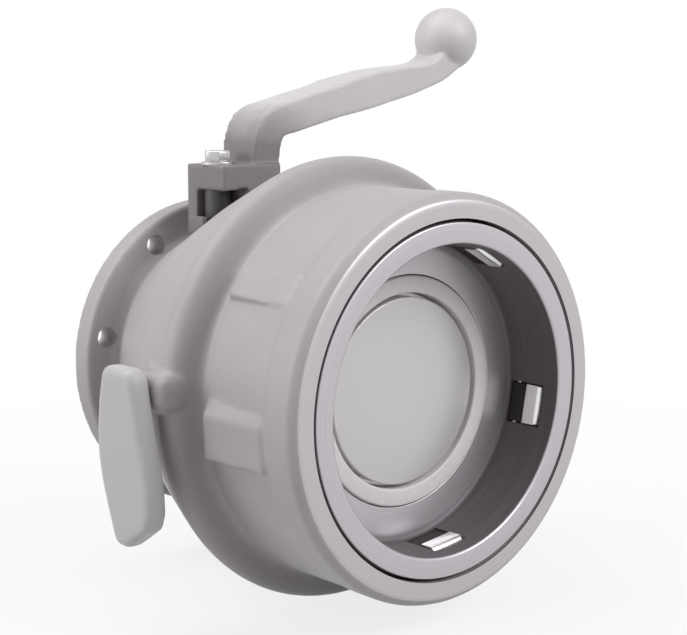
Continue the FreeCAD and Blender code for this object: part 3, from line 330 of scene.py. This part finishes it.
class Finish:
    """A procedural material on one shader, built from the piece's own coordinates."""

    def __init__(self, name, metallic=0.0, roughness=0.5, **constants):
        self.material = bpy.data.materials.new(name)
        self.material.use_nodes = True
        self.tree = self.material.node_tree
        self.shader = self.tree.nodes["Principled BSDF"]
        self.shader.inputs["Metallic"].default_value = metallic
        self.shader.inputs["Roughness"].default_value = roughness
        for socket, value in constants.items():
            self.shader.inputs[socket.replace("_", " ")].default_value = value
        self.place = self.node("ShaderNodeTexCoord").outputs["Object"]

    def node(self, kind, settings=None, **inputs):
        node = self.tree.nodes.new(kind)
        for key, value in (settings or {}).items():
            setattr(node, key, value)
        for key, value in inputs.items():
            slot = node.inputs[key.replace("_", " ")]
            if isinstance(value, Wire):
                value = value.socket
            if isinstance(value, bpy.types.NodeSocket):
                self.tree.links.new(value, slot)
            else:
                slot.default_value = value
        return node

    def noise(self, scale, detail=3, rough=0.55, stretch=None):
        """Noise at so many spots per metre, stretched along the axes if asked."""
        place = self.place
        if stretch:
            place = self.node("ShaderNodeMapping", Vector=place, Scale=stretch).outputs[0]
        node = self.node("ShaderNodeTexNoise", Vector=place, Scale=scale, Detail=detail,
                         Roughness=rough)
        return Wire(self.tree, node.outputs["Fac"])

    def rings(self, distance, scale, detail):
        """Noise along one distance only, which round the axis makes rings of one tone each."""
        node = self.node("ShaderNodeTexNoise", {"noise_dimensions": "1D"}, W=distance, Scale=scale,
                         Detail=detail)
        return Wire(self.tree, node.outputs["Fac"])

    def casting(self):
        """The cloudiness and the fine specks of a casting, and its tone from both."""
        cloud = self.noise(26, 4, 0.6)
        speck = self.noise(900, 2, 0.5)
        return cloud, speck, (cloud * 0.75 + speck * 0.25).above(0.5, 0.5)

    def blasted(self, pits):
        """The height of fine blasted pits on a slow swell."""
        return self.noise(1500, 3, 0.6) * pits + self.noise(120, 2, 0.5) * 0.9

    def axis(self, letter):
        node = self.node("ShaderNodeSeparateXYZ", Vector=self.place)
        return Wire(self.tree, node.outputs[letter])

    def radius(self):
        """Distance from the coupler's axis."""
        across, up = self.axis("Y"), self.axis("Z")
        return (across * across + up * up).root()

    def mix(self, share, first, second):
        node = self.node("ShaderNodeMix", {"data_type": "RGBA"})
        self.tree.links.new(share.socket, node.inputs[0])
        for slot, value in ((6, first), (7, second)):
            if isinstance(value, bpy.types.NodeSocket):
                self.tree.links.new(value, node.inputs[slot])
            else:
                node.inputs[slot].default_value = (*value, 1)
        return node.outputs[2]

    def colour(self, socket):
        self.tree.links.new(socket, self.shader.inputs["Base Color"])

    def rough(self, wire):
        self.tree.links.new(wire.clamp().socket, self.shader.inputs["Roughness"])

    def bump(self, height, depth, strength=1.0):
        """Raised detail of so many millimetres."""
        node = self.node("ShaderNodeBump", Strength=strength, Distance=depth * MM, Height=height)
        self.tree.links.new(node.outputs[0], self.shader.inputs["Normal"])


def grip_finish():
    """The grips' casting, which hands have worn smooth."""
    finish = Finish("smooth_grip", 0.0, 0.42)
    cloud, speck, tone = finish.casting()
    finish.colour(finish.mix(tone, (0.56, 0.545, 0.562), (0.62, 0.60, 0.62)))
    finish.rough(0.36 + cloud * 0.08 + speck * 0.05)
    finish.bump(finish.blasted(0.35), 0.14, 0.5)
    return finish.material


def turned_finish(name, light, dark, metallic, roughness, pitch):
    """Metal turned on a lathe: fine rings round the axis, with a faint sheen across them."""
    finish = Finish(name, metallic, roughness)
    distance = finish.radius() + finish.axis("X")
    wander = finish.noise(60, 2, 0.5)
    grooves = (distance * (2 * math.pi / (pitch * MM)) + wander * 4).sine()
    band = finish.rings(distance, 900, 3)
    finish.colour(finish.mix(band.above(0.5, 0.6), dark, light))
    finish.rough(roughness - 0.04 + band * 0.12)
    finish.bump(grooves * 0.5 + band * 0.6, 0.02, 0.6)
    return finish.material


def brushed_finish(name, light, dark, metallic, roughness, stretch):
    """Machined metal with fine tool marks along one direction."""
    finish = Finish(name, metallic, roughness)
    lines = finish.noise(700, 3, 0.6, stretch)
    patch = finish.noise(60, 3, 0.6)
    finish.colour(finish.mix((lines * 0.5 + patch * 0.5).above(0.5, 0.5), dark, light))
    finish.rough(roughness - 0.08 + lines * 0.14 + patch * 0.04)
    finish.bump(lines, 0.02, 0.5)
    return finish.material


grip_skin = grip_finish()
ring_metal = turned_finish("turned_ring", (0.70, 0.68, 0.69), (0.60, 0.58, 0.59), 0.9, 0.28, 0.6)
dark_steel = brushed_finish("machined_steel", (0.10, 0.094, 0.098), (0.06, 0.055, 0.058), 0.5, 0.42,
                            (12, 1, 1))
bright_steel = brushed_finish("bright_steel", (0.60, 0.59, 0.59), (0.46, 0.45, 0.45), 0.8, 0.26,
                              (1, 1, 10))
bronze = turned_finish("bearing_bronze", (0.55, 0.38, 0.20), (0.42, 0.28, 0.14), 1.0, 0.35, 0.8)


def body_finish():
    """The body's blasted casting, with painted shade in the valley and round the shaft under the
    lever.
    """
    finish = Finish("blasted_casting", 0.1, 0.56)
    cloud, speck, tone = finish.casting()
    unshaded_tone = finish.mix(tone, (0.44, 0.412, 0.421), (0.505, 0.475, 0.485))
    # Painted shade: a dark band across the valley between the bulge and the drum.
    along = finish.axis("X") + (cloud - 0.5) * (3 * MM)
    valley = (along.above(127.5 * MM, 5 * MM) * (1 - along.above(134 * MM, 4 * MM))
              * finish.radius().above(96 * MM, 1 * MM))
    # Painted shade: a dark patch round the shaft boss under the lever.
    east, north = finish.axis("X") - SHAFT[0] * MM, finish.axis("Y") - SHAFT[1] * MM
    shaft_shade = ((1 - (east * east + north * north).root().above(25 * MM, 8 * MM))
              * finish.axis("Z").above(66 * MM, 4 * MM))
    # Both masks of painted shade mix in the same dark colour.
    finish.colour(finish.mix((valley * 0.42 + shaft_shade * 0.8).clamp(), unshaded_tone, (0.15, 0.132, 0.137)))
    finish.rough(0.5 + cloud * 0.08 + speck * 0.05)
    finish.bump(finish.blasted(0.7), 0.14, 0.5)
    return finish.material


def lever_finish():
    """The lever's casting, with painted shade: dark at the hub and riser, lighter on the arm and
    ball.
    """
    finish = Finish("cast_lever", 0.1, 0.54)
    cloud = finish.noise(30, 4, 0.6)
    speck = finish.noise(900, 2, 0.5)
    # Painted shade: the tone darkens down towards the hub and riser; the arm above is also a little
    # smoother.
    height = finish.axis("Z") + finish.axis("Y") * 0.25 + cloud * 14 * MM
    unshaded_share = height.above(137 * MM, 28 * MM)
    mottle = (cloud * 0.6 + speck * 0.4).above(0.5, 0.5)
    painted_shade_tone = finish.mix(mottle, (0.205, 0.183, 0.189), (0.30, 0.272, 0.28))
    unshaded_tone = finish.mix(mottle, (0.62, 0.59, 0.597), (0.70, 0.672, 0.68))
    finish.colour(finish.mix(unshaded_share, painted_shade_tone, unshaded_tone))
    finish.rough(0.56 + cloud * 0.08 - unshaded_share * 0.06)
    finish.bump(finish.blasted(0.8), 0.16, 0.5)
    return finish.material


def drum_finish():
    """The drum's blasted casting, with its front face turned bright."""
    finish = Finish("blasted_drum", 0.1, 0.54)
    cloud, _, tone = finish.casting()
    blasted = finish.mix(tone, (0.455, 0.427, 0.44), (0.52, 0.49, 0.503))
    face = (finish.axis("X").above(199 * MM, 0.4 * MM)
            * (1 - finish.radius().above(95.6 * MM, 0.8 * MM)))
    ring = finish.rings(finish.radius(), 1400, 2)
    bright = finish.mix(ring.above(0.5, 0.6), (0.50, 0.472, 0.495), (0.57, 0.54, 0.565))
    finish.colour(finish.mix(face, blasted, bright))
    finish.rough(0.5 + cloud * 0.08 - face * 0.16)
    finish.tree.links.new((face * 0.7 + 0.1).socket, finish.shader.inputs["Metallic"])
    finish.bump((1 - face) * finish.blasted(0.6) + face * ring * 0.04, 0.14, 0.5)
    return finish.material


def carrier_finish():
    """The latch ring: a wall darkened as painted shade, and a floor and rim that are turned bright.
    """
    finish = Finish("turned_carrier", 0.6, 0.4, Specular_IOR_Level=0.3)
    radius = finish.radius()
    # Painted shade: the bore wall inside the mouth gets a near-black tone.
    wall = radius.above(72.4 * MM, 4.4 * MM) * (1 - finish.axis("X").above(199.0 * MM, 0.8 * MM))
    ring = finish.rings(finish.radius(), 1200, 2)
    along = finish.noise(700, 2, 0.5, (1, 0.02, 0.02))
    bright = finish.mix(ring.above(0.5, 0.6), (0.50, 0.475, 0.50), (0.58, 0.55, 0.58))
    dark = finish.mix(along.above(0.5, 0.6), (0.125, 0.11, 0.12), (0.17, 0.152, 0.165))
    finish.colour(finish.mix(wall, bright, dark))
    finish.rough(0.34 + ring * 0.08 + wall * 0.16)
    finish.tree.links.new((0.8 - wall * 0.8).socket, finish.shader.inputs["Metallic"])
    finish.bump((1 - wall) * ring + wall * along, 0.012, 0.5)
    return finish.material


def poppet_finish():
    """A finely faced disc: close rings, and a painted sheen in its colour that changes round the
    axis.
    """
    finish = Finish("faced_poppet", 0.3, 0.32)
    ring = finish.rings(finish.radius(), 2600, 2)
    # Painted sheen: the colour lightens and darkens round the axis like the highlight of a faced
    # disc.
    turn = finish.axis("Y").sum("ARCTAN2", finish.axis("Z"))
    sheen = (turn * 2 + math.pi).sine() * 0.32 + (turn * 3 + 2.2).sine() * 0.14 + 0.5
    tone = sheen * 0.8 + ring * 0.2
    finish.colour(finish.mix(tone.clamp(), (0.56, 0.535, 0.55), (0.78, 0.755, 0.765)))
    finish.rough(0.26 + ring * 0.08)
    finish.bump(ring, 0.008, 0.5)
    return finish.material


def finger_finish():
    """Steel fingers with painted light: the noses near white as a painted highlight, the roots near
    black as painted shade.
    """
    finish = Finish("finger_painted_light", 0.9, 0.22)
    lines = finish.noise(700, 3, 0.6, (10, 1, 1))
    # Painted highlight and shade: near white in front of this line, near black behind it.
    lit_tip = (finish.axis("X") + lines * 1.2 * MM).above(179.2 * MM, 1.4 * MM)
    bright = finish.mix(lines.above(0.5, 0.6), (0.90, 0.885, 0.89), (0.98, 0.965, 0.97))
    finish.colour(finish.mix(lit_tip, (0.05, 0.045, 0.05), bright))
    finish.rough(0.5 - lit_tip * 0.1 + lines * 0.06)
    finish.bump(lines, 0.01, 0.5)
    return finish.material


cast_body = body_finish()
cast_lever = lever_finish()
cast_drum = drum_finish()
carrier_metal = carrier_finish()
poppet_metal = poppet_finish()
finger_steel = finger_finish()


def plain_finish(name, light, dark, roughness, grain):
    """Moulded seal material: even colour with a faint mottle and a soft skin."""
    finish = Finish(name, 0.0, roughness)
    mottle = finish.noise(grain, 3, 0.6)
    finish.colour(finish.mix(mottle.above(0.5, 0.5), dark, light))
    finish.rough(roughness - 0.05 + mottle * 0.1)
    finish.bump(finish.noise(grain * 6, 2, 0.5), 0.02, 0.4)
    return finish.material


face_seal_skin = plain_finish("face_seal_skin", (0.93, 0.88, 0.90), (0.86, 0.81, 0.83), 0.45, 150)
seal_rubber = plain_finish("seal_rubber", (0.05, 0.05, 0.052), (0.03, 0.03, 0.03), 0.55, 300)

FINISHES = {
    "cast_aluminium": cast_body, "drum_aluminium": cast_drum, "machined_aluminium": carrier_metal,
    "grip_aluminium": grip_skin, "stainless": ring_metal, "bright_steel": bright_steel,
    "dark_steel": dark_steel, "bronze": bronze, "seal_rubber": seal_rubber,
    "face_seal_polymer": face_seal_skin,
}


def paint(piece, material):
    piece.data.materials.clear()
    piece.data.materials.append(material)
    return piece


for entry in frame["record"]["subparts"]:
    paint(nodes[entry["node"]], FINISHES[entry["material_slot"]])
# Painted shade: the lever's shaft, in the opening under the hub, gets the near-black machined
# steel.
paint(nodes["lever_shaft"], dark_steel)


def fit(piece, body, material, slot, *replaced):
    """Hangs a finished piece on its body in place of the solids that it stands for."""
    take(piece)
    paint(piece, material)
    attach(piece, body)
    if replaced:
        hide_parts(*replaced)
    return piece


# The cast body: flange, neck, bulge, shaft boss, lever stop and grip lugs in one casting.

def make_casting():
    outer = rounded([
        (0, 40), (0, 85.2, 1.6), (13.9, 85.2, 1.6), (13.9, 66, 4), (80, 97, 110), (124, 115.2, 9),
        (134.2, 98.7, 5), (142, 98.7), (142, 40)], 12)
    body = turned("body_casting", outer, 192, solid=True)
    weld(body, box("left_lug", (97, -118, -1.5), (131, -96, 16.5), 5, 4),
         box("right_lug", (97, 96, -1.5), (131, 118, 16.5), 5, 4))
    cast(body, 1.4, 5)
    cut(body, box("joint_trim", (JOINT, -120, -120), (150, 120, 120)))
    cut(body, turned("chamber", [
        (-1, 51), (13.9, 51), (80, 79), (111.5, 100), (128, 96), (128, 61.95), (139, 61.95)],
        160, solid=True))
    weld(body, rod("shaft_boss", (*SHAFT, 44), 14.5, 40, "Z", 64))
    cut(body, rod("lever_sweep", (*SHAFT, 74), 23.5, 34.5, "Z", 96))
    weld(body, box("lever_stop", (36.4, -35.3, 70), (49.6, -32.6, 79.5), 0.4, 2))
    cut(body, rod("bush_bore", (*SHAFT, 40), 9.5, 60, "Z", 64))
    cut(body, rod("gland_bore", (*SHAFT, 65.5), 11, 30, "Z", 64))
    for angle in BOLT_ANGLES:
        cut(body, spun("bolt_hole", (-1, BOLT_HOLE), BOLT_CIRCLE, 17, angle))
    for angle in ROD_ANGLES:
        cut(body, spun("rod_hole", (120, ROD_HOLE), ROD_CIRCLE, 20, angle))
    return smooth(body, 40)


casting = make_casting()
fit(casting, "housing", cast_body, "cast_aluminium", "main_body")


# The drum round the mouth, with its two pads.

def make_pad(angle, low, high, top, front_slope, rear_slope, sink):
    """A raised pad whose upper side slopes and whose front end sinks away."""
    rear, front, foot = 138.6, 181, 96
    pad = box("pad", (rear, low, foot), (front, high, top))
    mesh = edit(pad)

    def on_top(point, place):
        return point.co.z > (foot + 1) * MM and abs(point.co.x - place * MM) < MM
    for slope, place in ((front_slope, front), (rear_slope, rear)):
        pick(mesh, points=lambda v: v.co.y > 0 and on_top(v, place))
        bpy.ops.transform.translate(value=(0, -slope * MM, 0))
    pick(mesh, points=lambda v: on_top(v, front))
    bpy.ops.transform.translate(value=(-3 * MM, 0, -sink * MM))
    bpy.ops.object.mode_set(mode="OBJECT")
    modify(pad, "BEVEL", width=0.8 * MM, segments=3, limit_method="NONE")
    return swing(pad, angle)


def make_drum():
    outer = rounded([
        (130, 40), (130, 98.7), (179.6, 98.7, 0.8), (180.6, 99.2, 0.8), (196.2, 99.2, 3.6),
        (200, 95.6, 1), (200, 40)], 6)
    drum = turned("drum", outer, 192, solid=True)
    weld(drum, make_pad(54, -8.6, 8.8, 101.7, 1, 0.5, 2.1),
         make_pad(93, -17.5, 15.4, 102.8, 12.2, 11.6, 2.6))
    cast(drum, 1.3, 3)
    cut(drum, box("joint_trim", (120, -120, -120), (JOINT + 0.04, 120, 120)))
    cut(drum, turned("mouth_bore", [(147.95, 87), (202, 87)], 192, solid=True))
    cut(drum, turned("seat_bore", [(130, 48.5), (150, 48.5)], 160, solid=True))
    for angle in ROD_ANGLES:
        cut(drum, spun("rod_hole", (130, ROD_HOLE), ROD_CIRCLE, 20, angle))
    weld(drum, turned("spigot", [
        (124, 45), (124, 61.9), (138.2, 61.9), (138.2, 48.5), (126, 48.5), (126, 45)], 160))
    return smooth(drum, 40)


drum = make_drum()
fit(drum, "housing", cast_drum, "drum_aluminium", "coupling_housing")


# The latch carrier: the inner ring of the mouth, its wall and floor.

def make_carrier():
    outline = rounded([
        (148, 62), (148, 76), (161, 76), (161, 80.4), (190, 80.4), (190, 86), (195, 86),
        (196, 85.3), (200, 85.3, 0.8), (200, 75, 1.4), (166.5, 75, 2.4),
        (166.5, 57.6, 0.4), (160, 57.6), (160, 62)], 5)
    carrier = turned("mouth_ring", outline, 240)
    for angle in FINGER_ANGLES:
        window = box("window", (168, -10.8, 70), (190, 10.8, 92), 0.8, 2)
        cut(carrier, swing(window, -angle))
    return smooth(carrier, 32)


carrier = make_carrier()
fit(carrier, "housing", carrier_metal, "machined_aluminium", "latch_carrier", "carrier_plate")


# The latch fingers.

def make_finger(number):
    """A latch finger whose hooked nose is worn round."""
    turn = math.radians(FINGER_ANGLES[number - 1])
    finger = copied("latch_finger_%d" % number)
    mesh = edit(finger)

    def on_nose(point):
        return (point.co.x > 185.5 * MM
                and point.co.y * math.sin(turn) + point.co.z * math.cos(turn) < 77 * MM)
    pick(mesh, edges=lambda e: e.calc_length() > 12 * MM and all(on_nose(v) for v in e.verts))
    bpy.ops.mesh.bevel(offset=2.2 * MM, segments=5, affect="EDGES", clamp_overlap=True)
    bpy.ops.object.mode_set(mode="OBJECT")
    modify(finger, "BEVEL", width=0.35 * MM, segments=2, limit_method="ANGLE",
           angle_limit=math.radians(40), use_clamp_overlap=True)
    return smooth(finger, 40)


for number in range(1, 6):
    fit(make_finger(number), "finger_%d" % number, finger_steel, "stainless",
        "latch_finger_%d" % number)


# Poppet, its seat and the nose seal.

poppet_disc = turned("poppet_face", rounded([
    (161.8, 6.1), (150, 6.1), (150, 14, 0.6), (158, 16, 1), (158, 42, 0.4), (160.5, 42),
    (160.5, 46.5, 0.4), (166, 46.5, 0.8), (166, 20), (166, 0.5)], 5), 200, solid=True)
fit(poppet_disc, "poppet", poppet_metal, "stainless", "poppet_disc")

seat = turned("seat_sleeve", rounded([
    (136, 43), (136, 48.4), (159.3, 48.4, 0.4), (159.3, 46, 0.3), (156.3, 43)], 4), 200)
fit(seat, "housing", ring_metal, "stainless", "seat_ring")

seal = turned("nose_seal_ring", rounded([
    (161, 48.6), (161, 57.15), (167.3, 57.15, 1.1), (167.3, 48.6, 1.1)], 6), 200)
fit(seal, "nose_seal", face_seal_skin, "face_seal_polymer", "face_seal")


# The operating lever: hub with its two legs, riser, arm and ball in one casting.

def make_hub():
    hub = box("lever_hub", (27.7, -29.3, 93.0), (60.4, 8.6, 106.3))
    mesh = edit(hub)
    pick(mesh, points=lambda v: v.co.z < 0.1 and v.co.y > 0)
    bpy.ops.transform.translate(value=(0, 0, 2.5 * MM))
    bpy.ops.object.mode_set(mode="OBJECT")
    rear_leg = box("rear_leg", (27.7, -29.3, 74.9), (36.2, -7, 95))
    side_leg = box("side_leg", (27.7, -13.4, 74.9), (60.3, -6.8, 95))
    return weld(hub, rear_leg, side_leg)


# Stations of the arm: distance out from the shaft, height, lean from upright, width, depth.
ARM = [
    (20.0, 103.5, 0, 33.0, 22.0), (21.9, 108.4, 0, 33.0, 22.0), (22.8, 114.0, 3, 33.0, 22.0),
    (24.2, 120.0, 18, 33.0, 21.8), (27.4, 125.8, 38, 33.0, 21.6), (32.4, 128.8, 60, 33.0, 21.4),
    (41.9, 131.0, 74, 32.4, 21.4), (60.0, 135.4, 76, 31.8, 21.6), (72.0, 138.1, 75, 31.4, 21.6),
    (85.0, 141.3, 75, 31.0, 23.6), (98.0, 143.9, 77, 30.4, 23.8), (112.0, 146.9, 79, 29.2, 23.2),
    (128.0, 149.5, 79, 28.0, 20.8), (142.0, 152.1, 76, 27.0, 17.6), (153.0, 155.4, 62, 26.4, 16.8),
    (160.6, 160.0, 38, 26.6, 19.0), (166.0, 164.5, 15, 27.6, 24.0)]


def eased(rows, steps=3):
    """The rows with more rows between them, on a smooth curve through them all."""
    result = []
    for index in range(len(rows) - 1):
        a, b, c, d = (Vector(rows[max(0, min(len(rows) - 1, index + shift))])
                      for shift in (-1, 0, 1, 2))
        for step in range(steps):
            share = step / steps
            result.append(tuple(b + (c - a) * (share / 2) + (2 * a - 5 * b + 4 * c - d)
                                * (share ** 2 / 2) + (3 * b - a - 3 * c + d) * (share ** 3 / 2)))
    return result + [rows[-1]]


def make_arm():
    out, up, lean, wide, deep = ARM[0]
    arm = box("lever_arm", (SHAFT[0] - wide / 2, SHAFT[1] + out - deep / 2, up - 1),
              (SHAFT[0] + wide / 2, SHAFT[1] + out + deep / 2, up))
    mesh = edit(arm)
    pick(mesh, edges=lambda e: abs(e.verts[0].co.z - e.verts[1].co.z) > 0.5 * MM)
    bpy.ops.mesh.bevel(offset=3.6 * MM, segments=4, affect="EDGES")
    mesh = bmesh.from_edit_mesh(arm.data)
    pick(mesh, faces=lambda f: f.normal.z > 0.9)
    for next_out, next_up, next_lean, next_wide, next_deep in eased(ARM)[1:]:
        centre = (SHAFT[0] * MM, (SHAFT[1] + next_out) * MM, next_up * MM)
        bpy.ops.mesh.extrude_region_move(TRANSFORM_OT_translate={
            "value": (0, (next_out - out) * MM, (next_up - up) * MM)})
        bpy.ops.transform.rotate(value=math.radians(-lean), orient_axis="X",
                                 center_override=centre)
        bpy.ops.transform.resize(value=(next_wide / wide, next_deep / deep, 1),
                                 center_override=centre)
        bpy.ops.transform.rotate(value=math.radians(next_lean), orient_axis="X",
                                 center_override=centre)
        out, up, lean, wide, deep = next_out, next_up, next_lean, next_wide, next_deep
    bpy.ops.object.mode_set(mode="OBJECT")
    let_go()
    bpy.ops.mesh.primitive_uv_sphere_add(segments=64, ring_count=40, radius=BALL_RADIUS * MM,
                                         location=[place * MM for place in BALL_CENTRE])
    weld(arm, name_piece("ball"), make_hub())
    cast(arm, 0.9, 6)
    cut(arm, box("shaft_square", (38.95, -26.05, 92), (49.05, -15.95, 107)))
    return smooth(arm, 50)


lever = make_arm()
fit(lever, "lever", cast_lever, "cast_aluminium", "lever")


def stand(piece, up):
    """Turns a piece made along X upright and puts it on the lever's shaft."""
    take(piece)
    piece.rotation_euler = (0, -math.pi / 2, 0)
    piece.location = (SHAFT[0] * MM, SHAFT[1] * MM, up * MM)
    bpy.ops.object.transform_apply(location=True, rotation=True)
    return piece


washer = turned("washer", [(0, 4.2), (0, 9), (1.8, 9), (1.8, 4.2)], 64)
modify(washer, "BEVEL", width=0.4 * MM, segments=2, limit_method="ANGLE")
stand(washer, 106)
fit(smooth(washer), "lever", bright_steel, "bright_steel", "lever_washer")

bolt = rod("hub_bolt", (*SHAFT, 107.8), 13 / math.sqrt(3), 5.5, "Z", 6)
mesh = edit(bolt)
pick(mesh, faces=lambda f: f.normal.z > 0.9)
bpy.ops.mesh.inset(thickness=0.9 * MM)
bpy.ops.transform.translate(value=(0, 0, 0.4 * MM))
bpy.ops.object.mode_set(mode="OBJECT")
modify(bolt, "BEVEL", width=0.6 * MM, segments=3, limit_method="ANGLE",
       angle_limit=math.radians(20))
fit(smooth(bolt, 30), "lever", bright_steel, "bright_steel", "lever_bolt")


# The hand grips: thick rounded paddles on the lugs at each side.

# Rows of the grip from top to bottom: height, rear edge, front edge.
GRIP_ROWS = [
    (19.6, 97.1, 118.5), (14, 95.0, 121.2), (3, 92.4, 123.6), (-12, 90.8, 127.2),
    (-24, 91.0, 130.6), (-36, 93.6, 133.2), (-47, 97.4, 133.8), (-54, 100.2, 131.2),
    (-60.5, 102.6, 121.6), (-65.6, 105.4, 113.6)]


def make_grip(name, side):
    height, rear, front = GRIP_ROWS[0]
    let_go()
    bpy.ops.mesh.primitive_plane_add(size=1, location=(
        (rear + front) / 2 * MM, side * GRIP_PLACE * MM, height * MM))
    bpy.context.object.scale = ((front - rear) * MM, GRIP_WALL * MM, 1)
    grip = name_piece(name)
    bpy.ops.object.mode_set(mode="EDIT")
    bpy.ops.mesh.select_all(action="SELECT")
    for next_height, next_rear, next_front in GRIP_ROWS[1:]:
        middle, next_middle = (rear + front) / 2, (next_rear + next_front) / 2
        bpy.ops.mesh.extrude_region_move(TRANSFORM_OT_translate={
            "value": ((next_middle - middle) * MM, 0, (next_height - height) * MM)})
        grow = (next_front - next_rear) / (front - rear)
        bpy.ops.transform.resize(value=(grow, 1, 1), center_override=(
            next_middle * MM, side * GRIP_PLACE * MM, next_height * MM))
        height, rear, front = next_height, next_rear, next_front
    bpy.ops.mesh.select_all(action="SELECT")
    bpy.ops.mesh.normals_make_consistent(inside=False)
    bpy.ops.object.mode_set(mode="OBJECT")
    modify(grip, "BEVEL", width=3.6 * MM, segments=4, limit_method="ANGLE",
           angle_limit=math.radians(40))
    cast(grip, 1.0, 12)
    return smooth(grip, 60)


left_grip = make_grip("left_hand_grip", -1)
fit(left_grip, "housing", grip_skin, "grip_aluminium", "left_grip")
right_grip = make_grip("right_hand_grip", 1)
fit(right_grip, "housing", grip_skin, "grip_aluminium", "right_grip")


# Floor, backdrop and light.

def backdrop_rays(tree):
    """1 for rays straight from the camera, and 1 for those that a mirror or glass passes on too."""
    path = tree.nodes.new("ShaderNodeLightPath")
    straight = Wire(tree, path.outputs["Is Camera Ray"])
    mirrored = Wire(tree, path.outputs["Is Glossy Ray"])
    through = Wire(tree, path.outputs["Is Transmission Ray"])
    return straight, (straight + mirrored + through).clamp()


let_go()
bpy.ops.mesh.primitive_plane_add(size=12, location=(0, 0, FLOOR * MM))
floor = name_piece("floor")
white = Finish("pale_floor", 0.0, 0.9)
straight, seen = backdrop_rays(white.tree)
white.colour(white.mix(straight, (0.5, 0.5, 0.5), (0.98, 0.98, 0.98)))
east, north = white.axis("X") - 0.1, white.axis("Y")
away = (east * east + north * north).root()
pale = away.above(0.33, 0.46) * 0.2 + 0.8
emission = white.node("ShaderNodeEmission", Color=(1, 1, 1, 1), Strength=1.0)
blend = white.node("ShaderNodeMixShader", Fac=seen * pale)
white.tree.links.new(white.shader.outputs[0], blend.inputs[1])
white.tree.links.new(emission.outputs[0], blend.inputs[2])
white.tree.links.new(blend.outputs[0], white.tree.nodes["Material Output"].inputs["Surface"])
paint(floor, white.material)

world = bpy.data.worlds.new("studio")
bpy.context.scene.world = world
world.use_nodes = True
sky = world.node_tree
background = sky.nodes["Background"]
background.inputs["Color"].default_value = (0.95, 0.965, 1.0, 1)
background.inputs["Strength"].default_value = 0.21
backdrop = sky.nodes.new("ShaderNodeBackground")
backdrop.inputs["Color"].default_value = (1, 1, 1, 1)
backdrop.inputs["Strength"].default_value = 1.0
pick_sky = sky.nodes.new("ShaderNodeMixShader")
sky.links.new(backdrop_rays(sky)[1].socket, pick_sky.inputs[0])
sky.links.new(background.outputs[0], pick_sky.inputs[1])
sky.links.new(backdrop.outputs[0], pick_sky.inputs[2])
sky.links.new(pick_sky.outputs[0], sky.nodes["World Output"].inputs["Surface"])


def lamp(name, place, width, power):
    """A square lamp that looks at the middle of the coupler."""
    data = bpy.data.lights.new(name, "AREA")
    data.shape = "RECTANGLE"
    data.size = data.size_y = width
    data.energy = power
    light = bpy.data.objects.new(name, data)
    bpy.context.scene.collection.objects.link(light)
    light.location = place
    light.rotation_euler = (Vector(place) - Vector((0.1, 0, 0))).to_track_quat("Z", "Y").to_euler()


lamp("top", (-0.05, -0.2, 1.35), 0.7, 3.8)
lamp("key", (-0.35, -0.75, 1.15), 0.35, 5.0)
lamp("side", (-0.45, -1.15, 0.4), 0.6, 4.9)
lamp("right", (1.2, 0.5, 0.9), 0.8, 12.0)
